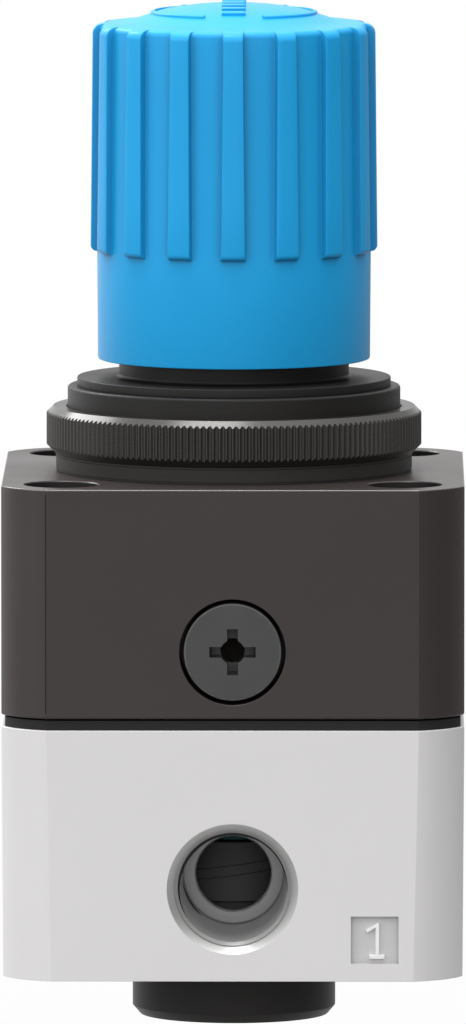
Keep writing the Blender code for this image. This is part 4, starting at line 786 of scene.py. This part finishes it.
def make_knob():
    rings = [[Vector((0, 0, KNOB_TOP))]]

    def plain(radius, z):
        rings.append(knob_ring((radius, z), (radius, z), RIB_WIDTH))

    valley_arc = shoulder(VALLEY_UP, 0.7)
    rib_arc = shoulder(RIB_UP, 1.05)
    for radius in [0.6] + [radius for radius, _ in CROWN[1:13]]:
        plain(radius, dome_z(radius))
    for valley, rib in zip(reversed(valley_arc), reversed(rib_arc)):
        rings.append(knob_ring(valley, rib, RIB_WIDTH_UP))
    low, high = RIBS_Z, rib_arc[0][1]
    for share in (0.75, 0.5, 0.25):
        z = low + (high - low) * share
        valley, rib = (VALLEY - 0.33 * share, z), (RIB - 0.23 * share, z)
        rings.append(knob_ring(valley, rib, RIB_WIDTH - 0.44 * share))
    for k in range(6, -1, -1):
        turn = math.pi / 2 * k / 6
        rib = (15.0 + 0.6 * math.sin(turn), low + 0.6 * (1 - math.cos(turn)))
        rings.append(knob_ring((VALLEY, rib[1]), rib, RIB_WIDTH))
    for radius, z in ((VALLEY, low), (14.8, KNOB_Z + 0.2), (14.75, KNOB_Z + 0.06), (14.6, KNOB_Z),
                      (13.7, KNOB_Z), (13.5, KNOB_Z + 0.2), (13.5, low), (13.0, 107.0), (6.6, 107.0),
                      (6.6, 99.6), (6.4, 99.45)):
        plain(radius, z)
    for flats, z in ((7.4, 99.45), (7.0, 99.65), (7.0, 105.65)):
        ring = []
        for point in rings[1]:
            angle = math.atan2(point.y, point.x) % (2 * math.pi)
            reach = hexagon_reach(flats, angle)
            ring.append(Vector((reach * math.cos(angle), reach * math.sin(angle), z)))
        rings.append(ring)
    rings.append([Vector((0, 0, 105.9))])
    mesh = loft(rings)
    bmesh.ops.remove_doubles(mesh, verts=mesh.verts, dist=2e-4)
    bmesh.ops.dissolve_degenerate(mesh, edges=mesh.edges, dist=2e-4)
    piece("setting_knob", mesh, "knob", "moulded_blue", ["knob"], weighted=False)
    lugs = []
    for number in range(LUGS):
        lug = box((12.75, -0.45, 75.15), (13.8, 0.45, 77.15))
        angle = 2 * math.pi * number / LUGS + math.pi / 24
        lugs.append(moved(lug, Matrix.Rotation(angle, 4, "Z")))
    piece("knob_stop_lugs", joined(lugs), "knob", "moulded_blue")


def on_dome(radius, angle, lift):
    return Vector((radius * math.cos(angle), radius * math.sin(angle), dome_z(radius) + lift))


def dome_strip(stations, height=0.27, root=0.15):
    """A raised strip on the dome through (angle, radius, width) stations."""
    rings = []
    for angle, radius, width in stations:
        half = width / 2
        soft = min(0.07, half * 0.5)
        section = [(-half, -root), (-half, height - soft), (-half + soft, height), (half - soft, height),
                   (half, height - soft), (half, -root)]
        rings.append([on_dome(radius + across, angle, lift) for across, lift in section])
    return loft(rings)


def make_knob_marks():
    marks = []
    start, stop, tip = math.radians(20.9), math.radians(137), math.radians(150)
    radius, line, head = 8.83, 0.47, 1.7
    for side in (-1, 1):
        stations = [(start + (stop - start) * k / 40, radius, line) for k in range(41)]
        stations += [(stop + 0.002, radius, head)]
        stations += [(stop + (tip - stop) * k / 6, radius, head * (1 - k / 6) + 0.1) for k in range(1, 7)]
        marks.append(dome_strip([(-math.pi / 2 + side * angle, *rest) for angle, *rest in stations]))
    long, wide = 1.3, 0.36
    outline = rounded([(-long, -wide, 0.2), (long, -wide, 0.2), (long, wide, 0.2), (-long, wide, 0.2)], 3)
    for k in range(-4, 5):
        y = 1.9 * k
        rings = []
        for inset, z in ((0, -0.2), (0, 0.22), (0.08, 0.3)):
            rings.append([Vector((x * (1 - inset / long), w * (1 - inset / wide), z)) for x, w in outline])
        slope = math.copysign(1, y) * dome_slope(abs(y))
        matrix = Matrix.Translation((0, y, dome_z(abs(y)))) @ Matrix.Rotation(slope, 4, "X")
        marks.append(moved(loft(rings), matrix))
    piece("knob_marks", joined(marks), "knob", "moulded_blue")


# Panel nut

KNURLS = 180


def make_panel_nut():
    outer, groove = 20.4, 20.14
    foot, crown = 19.4, 19.65
    crown_height = 0.75
    knurl = ((-0.09, outer), (0.09, outer), (0.32, groove + 0.05), (0.5, groove), (0.68, groove + 0.05))
    pitch = 2 * math.pi / KNURLS
    angles = [((i + offset) * pitch, radius) for i in range(KNURLS) for offset, radius in knurl]

    def ring(radius, z):
        return [Vector((radius * math.cos(angle), radius * math.sin(angle), z)) for angle, _ in angles]

    def cut_ring(height_at):
        return [Vector((r * math.cos(a), r * math.sin(a), height_at(r))) for a, r in angles]

    rings = [
        ring(18.16, NUT_Z),
        ring(18.2, NUT_Z - 0.21),
        ring(foot - 0.04, NUT_Z - 0.21),
        ring(foot, NUT_Z - 0.17),
        ring(foot, NUT_Z),
        cut_ring(lambda r: NUT_Z + (r - foot)),
        cut_ring(lambda r: NUT_TOP - crown_height * (r - crown) / (outer - crown)),
        ring(crown, NUT_TOP),
        ring(18.3, NUT_TOP),
        ring(18.16, NUT_TOP - 0.14),
    ]
    nut = piece("knurled_nut", loft(rings, closed=True), "panel_nut", "black_turning", ["panel_nut"],
                sharp=math.radians(22))
    repaint(nut, "nut_chamfer", lambda p: p.z > NUT_TOP - crown_height - 0.01
            and math.hypot(p.x, p.y) > crown - 0.01)
    repaint(nut, "washer_finish", lambda p: p.z < NUT_Z + 0.01)
    washer = rounded([(18.2, 59.61), (19.27, 59.61), (19.27, 59.79), (19.37, 59.81, 0.03), (19.37, 61.17),
                      (18.2, 61.17)])
    piece("nut_seat_ring", turned(washer, ROUND, closed=True), "nut_washer", "washer_finish", ["nut_washer"])


# Guide and springs

def coil(radius, wire, low, high, turns, sides=12, steps=40):
    """A compression spring with closed ends."""
    closed_rise = 2.15 * wire
    length = high - low
    open_rise = (length - 2 * wire - 2 * closed_rise) / (turns - 2)
    rings = []
    count = round(turns * steps)
    for i in range(count + 1):
        along = turns * i / count
        if along < 1:
            z = wire + closed_rise * along
        elif along > turns - 1:
            z = length - wire - closed_rise * (turns - along)
        else:
            z = wire + closed_rise + open_rise * (along - 1)
        angle = 2 * math.pi * along
        outwards = Vector((math.cos(angle), math.sin(angle), 0))
        section = []
        for j in range(sides):
            around = 2 * math.pi * j / sides
            lift = Vector((0, 0, low + z + wire * math.sin(around)))
            section.append(outwards * (radius + wire * math.cos(around)) + lift)
        rings.append(section)
    return loft(rings)


def make_guide():
    """The valve guide: a cup with fine lines wound round it, seen through the ports."""
    profile = rounded([(4.5, 9.75), (7.2, 9.75, 0.2), (7.2, 11.8), (6.6, 12.0), (6.6, 12.85),
                       (7.4, 13.0, 0.05), (7.4, 19.47, 0.08), (6.2, 19.47, 0.08), (6.2, 16.6), (4.5, 16.6)])
    piece("valve_cup", turned(profile, 128, closed=True), "housing", "guide_moulding", ["valve_guide"])
    for number, start in enumerate((14.3, 15.4)):
        line = helix(7.4, 7.43, 6.1, start, start + 3.05, 0.09, steps=96)
        for side, turn in (("front", -math.pi), ("back", 0.0)):
            copied = moved(line.copy(), Matrix.Rotation(turn, 4, "Z"))
            piece(f"cup_line_{side}_{number}", copied, "housing", "black_rubber")
        line.free()


def make_springs():
    setting = piece("pressure_spring", coil(8.0, 1.1, 50.42, 82.25, 7.5), "housing", "spring_steel",
                    ["setting_spring"])
    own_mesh(setting)
    low, high = 7.2, 13.25
    valve = piece("closing_spring", coil(3.4, 0.35, low, high, 4.5), "housing", "spring_steel",
                  ["valve_spring"])
    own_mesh(valve)


# Stage, in metres

def make_camera():
    distance, elevation, yaw = 2.168, math.radians(5.446), math.radians(0.371)
    aim = Vector((-0.000108 * math.cos(yaw), -0.000108 * math.sin(yaw), 0.054824))
    level = math.cos(elevation)
    forward = Vector((-math.sin(yaw) * level, math.cos(yaw) * level, -math.sin(elevation)))
    right = Vector((math.cos(yaw), math.sin(yaw), 0))
    up = right.cross(forward)
    data = bpy.data.cameras.new("camera")
    data.lens = 700
    data.sensor_width = 36
    data.clip_start, data.clip_end = 0.1, 50
    camera = placed("camera", data)
    axes = Matrix((right, up, -forward)).transposed().to_4x4()
    camera.matrix_world = Matrix.Translation(aim - forward * distance) @ axes
    bpy.context.scene.camera = camera


def lamp(name, place, size, power):
    """A softbox that faces the object's middle."""
    data = bpy.data.lights.new(name, "AREA")
    data.shape = "RECTANGLE"
    data.size, data.size_y = size
    data.energy = power
    made = placed(name, data)
    made.location = place
    made.rotation_mode = "QUATERNION"
    made.rotation_quaternion = (Vector(place) - Vector((0, 0, 0.055))).to_track_quat("Z", "Y")


def make_lights():
    lamp("left_softbox", (-1.7, -0.9, 0.7), (1.0, 1.4), 6.0)
    lamp("rim_softbox", (-1.1, 1.15, 1.3), (0.8, 0.8), 14.0)
    lamp("top_softbox", (-0.2, -0.1, 1.6), (0.6, 0.5), 7.0)


# How white the background's right side is in reflections
RIGHT_SHADE = 0.25
# Lobes of light in the sky: direction, how narrow, strength
SKY = [
    ((0, 0, 1), 2.0, 2.35),
    ((-1, 0, 0), 2.0, 0.55),
    ((0, -1, 0), 2.0, 1.60),
    ((0, 1, 0), 2.0, 0.45),
    ((-0.7, 0.7, 0.1), 4.0, 0.90),
]


def make_world():
    """A studio sky: bright overhead, softer in front and behind, weak on the right, dark below."""
    world = bpy.data.worlds.new("studio")
    world.use_nodes = True
    bpy.context.scene.world = world
    graph = Graph(world.node_tree)
    world.node_tree.nodes.clear()
    ray = graph.add("ShaderNodeTexCoord").outputs["Generated"]
    way = graph.add("ShaderNodeSeparateXYZ", {"Vector": ray}).outputs
    level = 0.0
    for direction, power, strength in SKY:
        product = graph.add("ShaderNodeVectorMath", {0: ray, 1: direction}, operation="DOT_PRODUCT")
        towards = graph.maths("POWER", graph.maths("MAXIMUM", product.outputs["Value"], 0.0), power)
        level = graph.maths("ADD", graph.maths("MULTIPLY", towards, strength), level)
    level = graph.maths("MULTIPLY", level, graph.maths("GREATER_THAN", way["Z"], 0.0))
    path = graph.add("ShaderNodeLightPath").outputs
    shade = graph.spread(way["X"], 1.0, RIGHT_SHADE, -0.1, 0.8)
    reflected = graph.maths("MULTIPLY", path["Is Glossy Ray"], shade)
    level = graph.maths("MAXIMUM", level, reflected)
    sky = graph.add("ShaderNodeBackground", {"Color": (1, 1, 1, 1), "Strength": level})
    white = graph.add("ShaderNodeBackground", {"Color": (1, 1, 1, 1), "Strength": 1.0})
    seen = graph.maths("MAXIMUM", path["Is Camera Ray"], path["Is Transmission Ray"])
    mixed = graph.add("ShaderNodeMixShader", {"Fac": seen})
    graph.put(mixed.inputs[1], sky.outputs[0])
    graph.put(mixed.inputs[2], white.outputs[0])
    graph.add("ShaderNodeOutputWorld", {"Surface": mixed.outputs[0]})


def make_floor():
    """A floor white to the camera and in reflections, dimmer on their right, and dull to other light."""
    mesh = bmesh.new()
    bmesh.ops.create_grid(mesh, x_segments=1, y_segments=1, size=6.0)
    data = bpy.data.meshes.new("floor")
    mesh.to_mesh(data)
    mesh.free()
    material = bpy.data.materials.new("floor")
    material.use_nodes = True
    graph = Graph(material.node_tree)
    material.node_tree.nodes.clear()
    path = graph.add("ShaderNodeLightPath").outputs
    dull = graph.add("ShaderNodeBsdfDiffuse", {"Color": (0.08, 0.08, 0.08, 1)})
    bright = graph.add("ShaderNodeEmission", {"Color": (1, 1, 1, 1), "Strength": 1.0})
    coordinates = graph.add("ShaderNodeTexCoord").outputs["Object"]
    away = graph.add("ShaderNodeVectorMath", {0: coordinates}, operation="LENGTH").outputs["Value"]
    across = graph.add("ShaderNodeSeparateXYZ", {"Vector": coordinates}).outputs["X"]
    shade = graph.spread(across, 1.0, RIGHT_SHADE, 0.0, 0.12)
    reflected = graph.maths("MULTIPLY", path["Is Glossy Ray"], shade)
    seen = graph.maths("MAXIMUM", path["Is Camera Ray"], reflected)
    seen = graph.maths("MAXIMUM", seen, path["Is Transmission Ray"])
    share = graph.maths("MULTIPLY", seen, graph.spread(away, 0.985, 1.0, 0.1, 0.5))
    mixed = graph.add("ShaderNodeMixShader", {"Fac": share})
    graph.put(mixed.inputs[1], dull.outputs[0])
    graph.put(mixed.inputs[2], bright.outputs[0])
    graph.add("ShaderNodeOutputMaterial", {"Surface": mixed.outputs[0]})
    data.materials.append(material)
    floor = placed("floor", data)


make_camera()
make_world()
make_lights()
make_floor()
make_looks()
dress_cad_nodes()
make_lower_body()
make_numerals()
make_gauge_plugs()
make_bottom_cap()
make_sheet()
make_upper_housing()
make_screws()
make_vent_plug()
make_bonnet()
make_knob()
make_knob_marks()
make_panel_nut()
make_guide()
make_springs()
bpy.context.scene.view_settings.view_transform = "Standard"
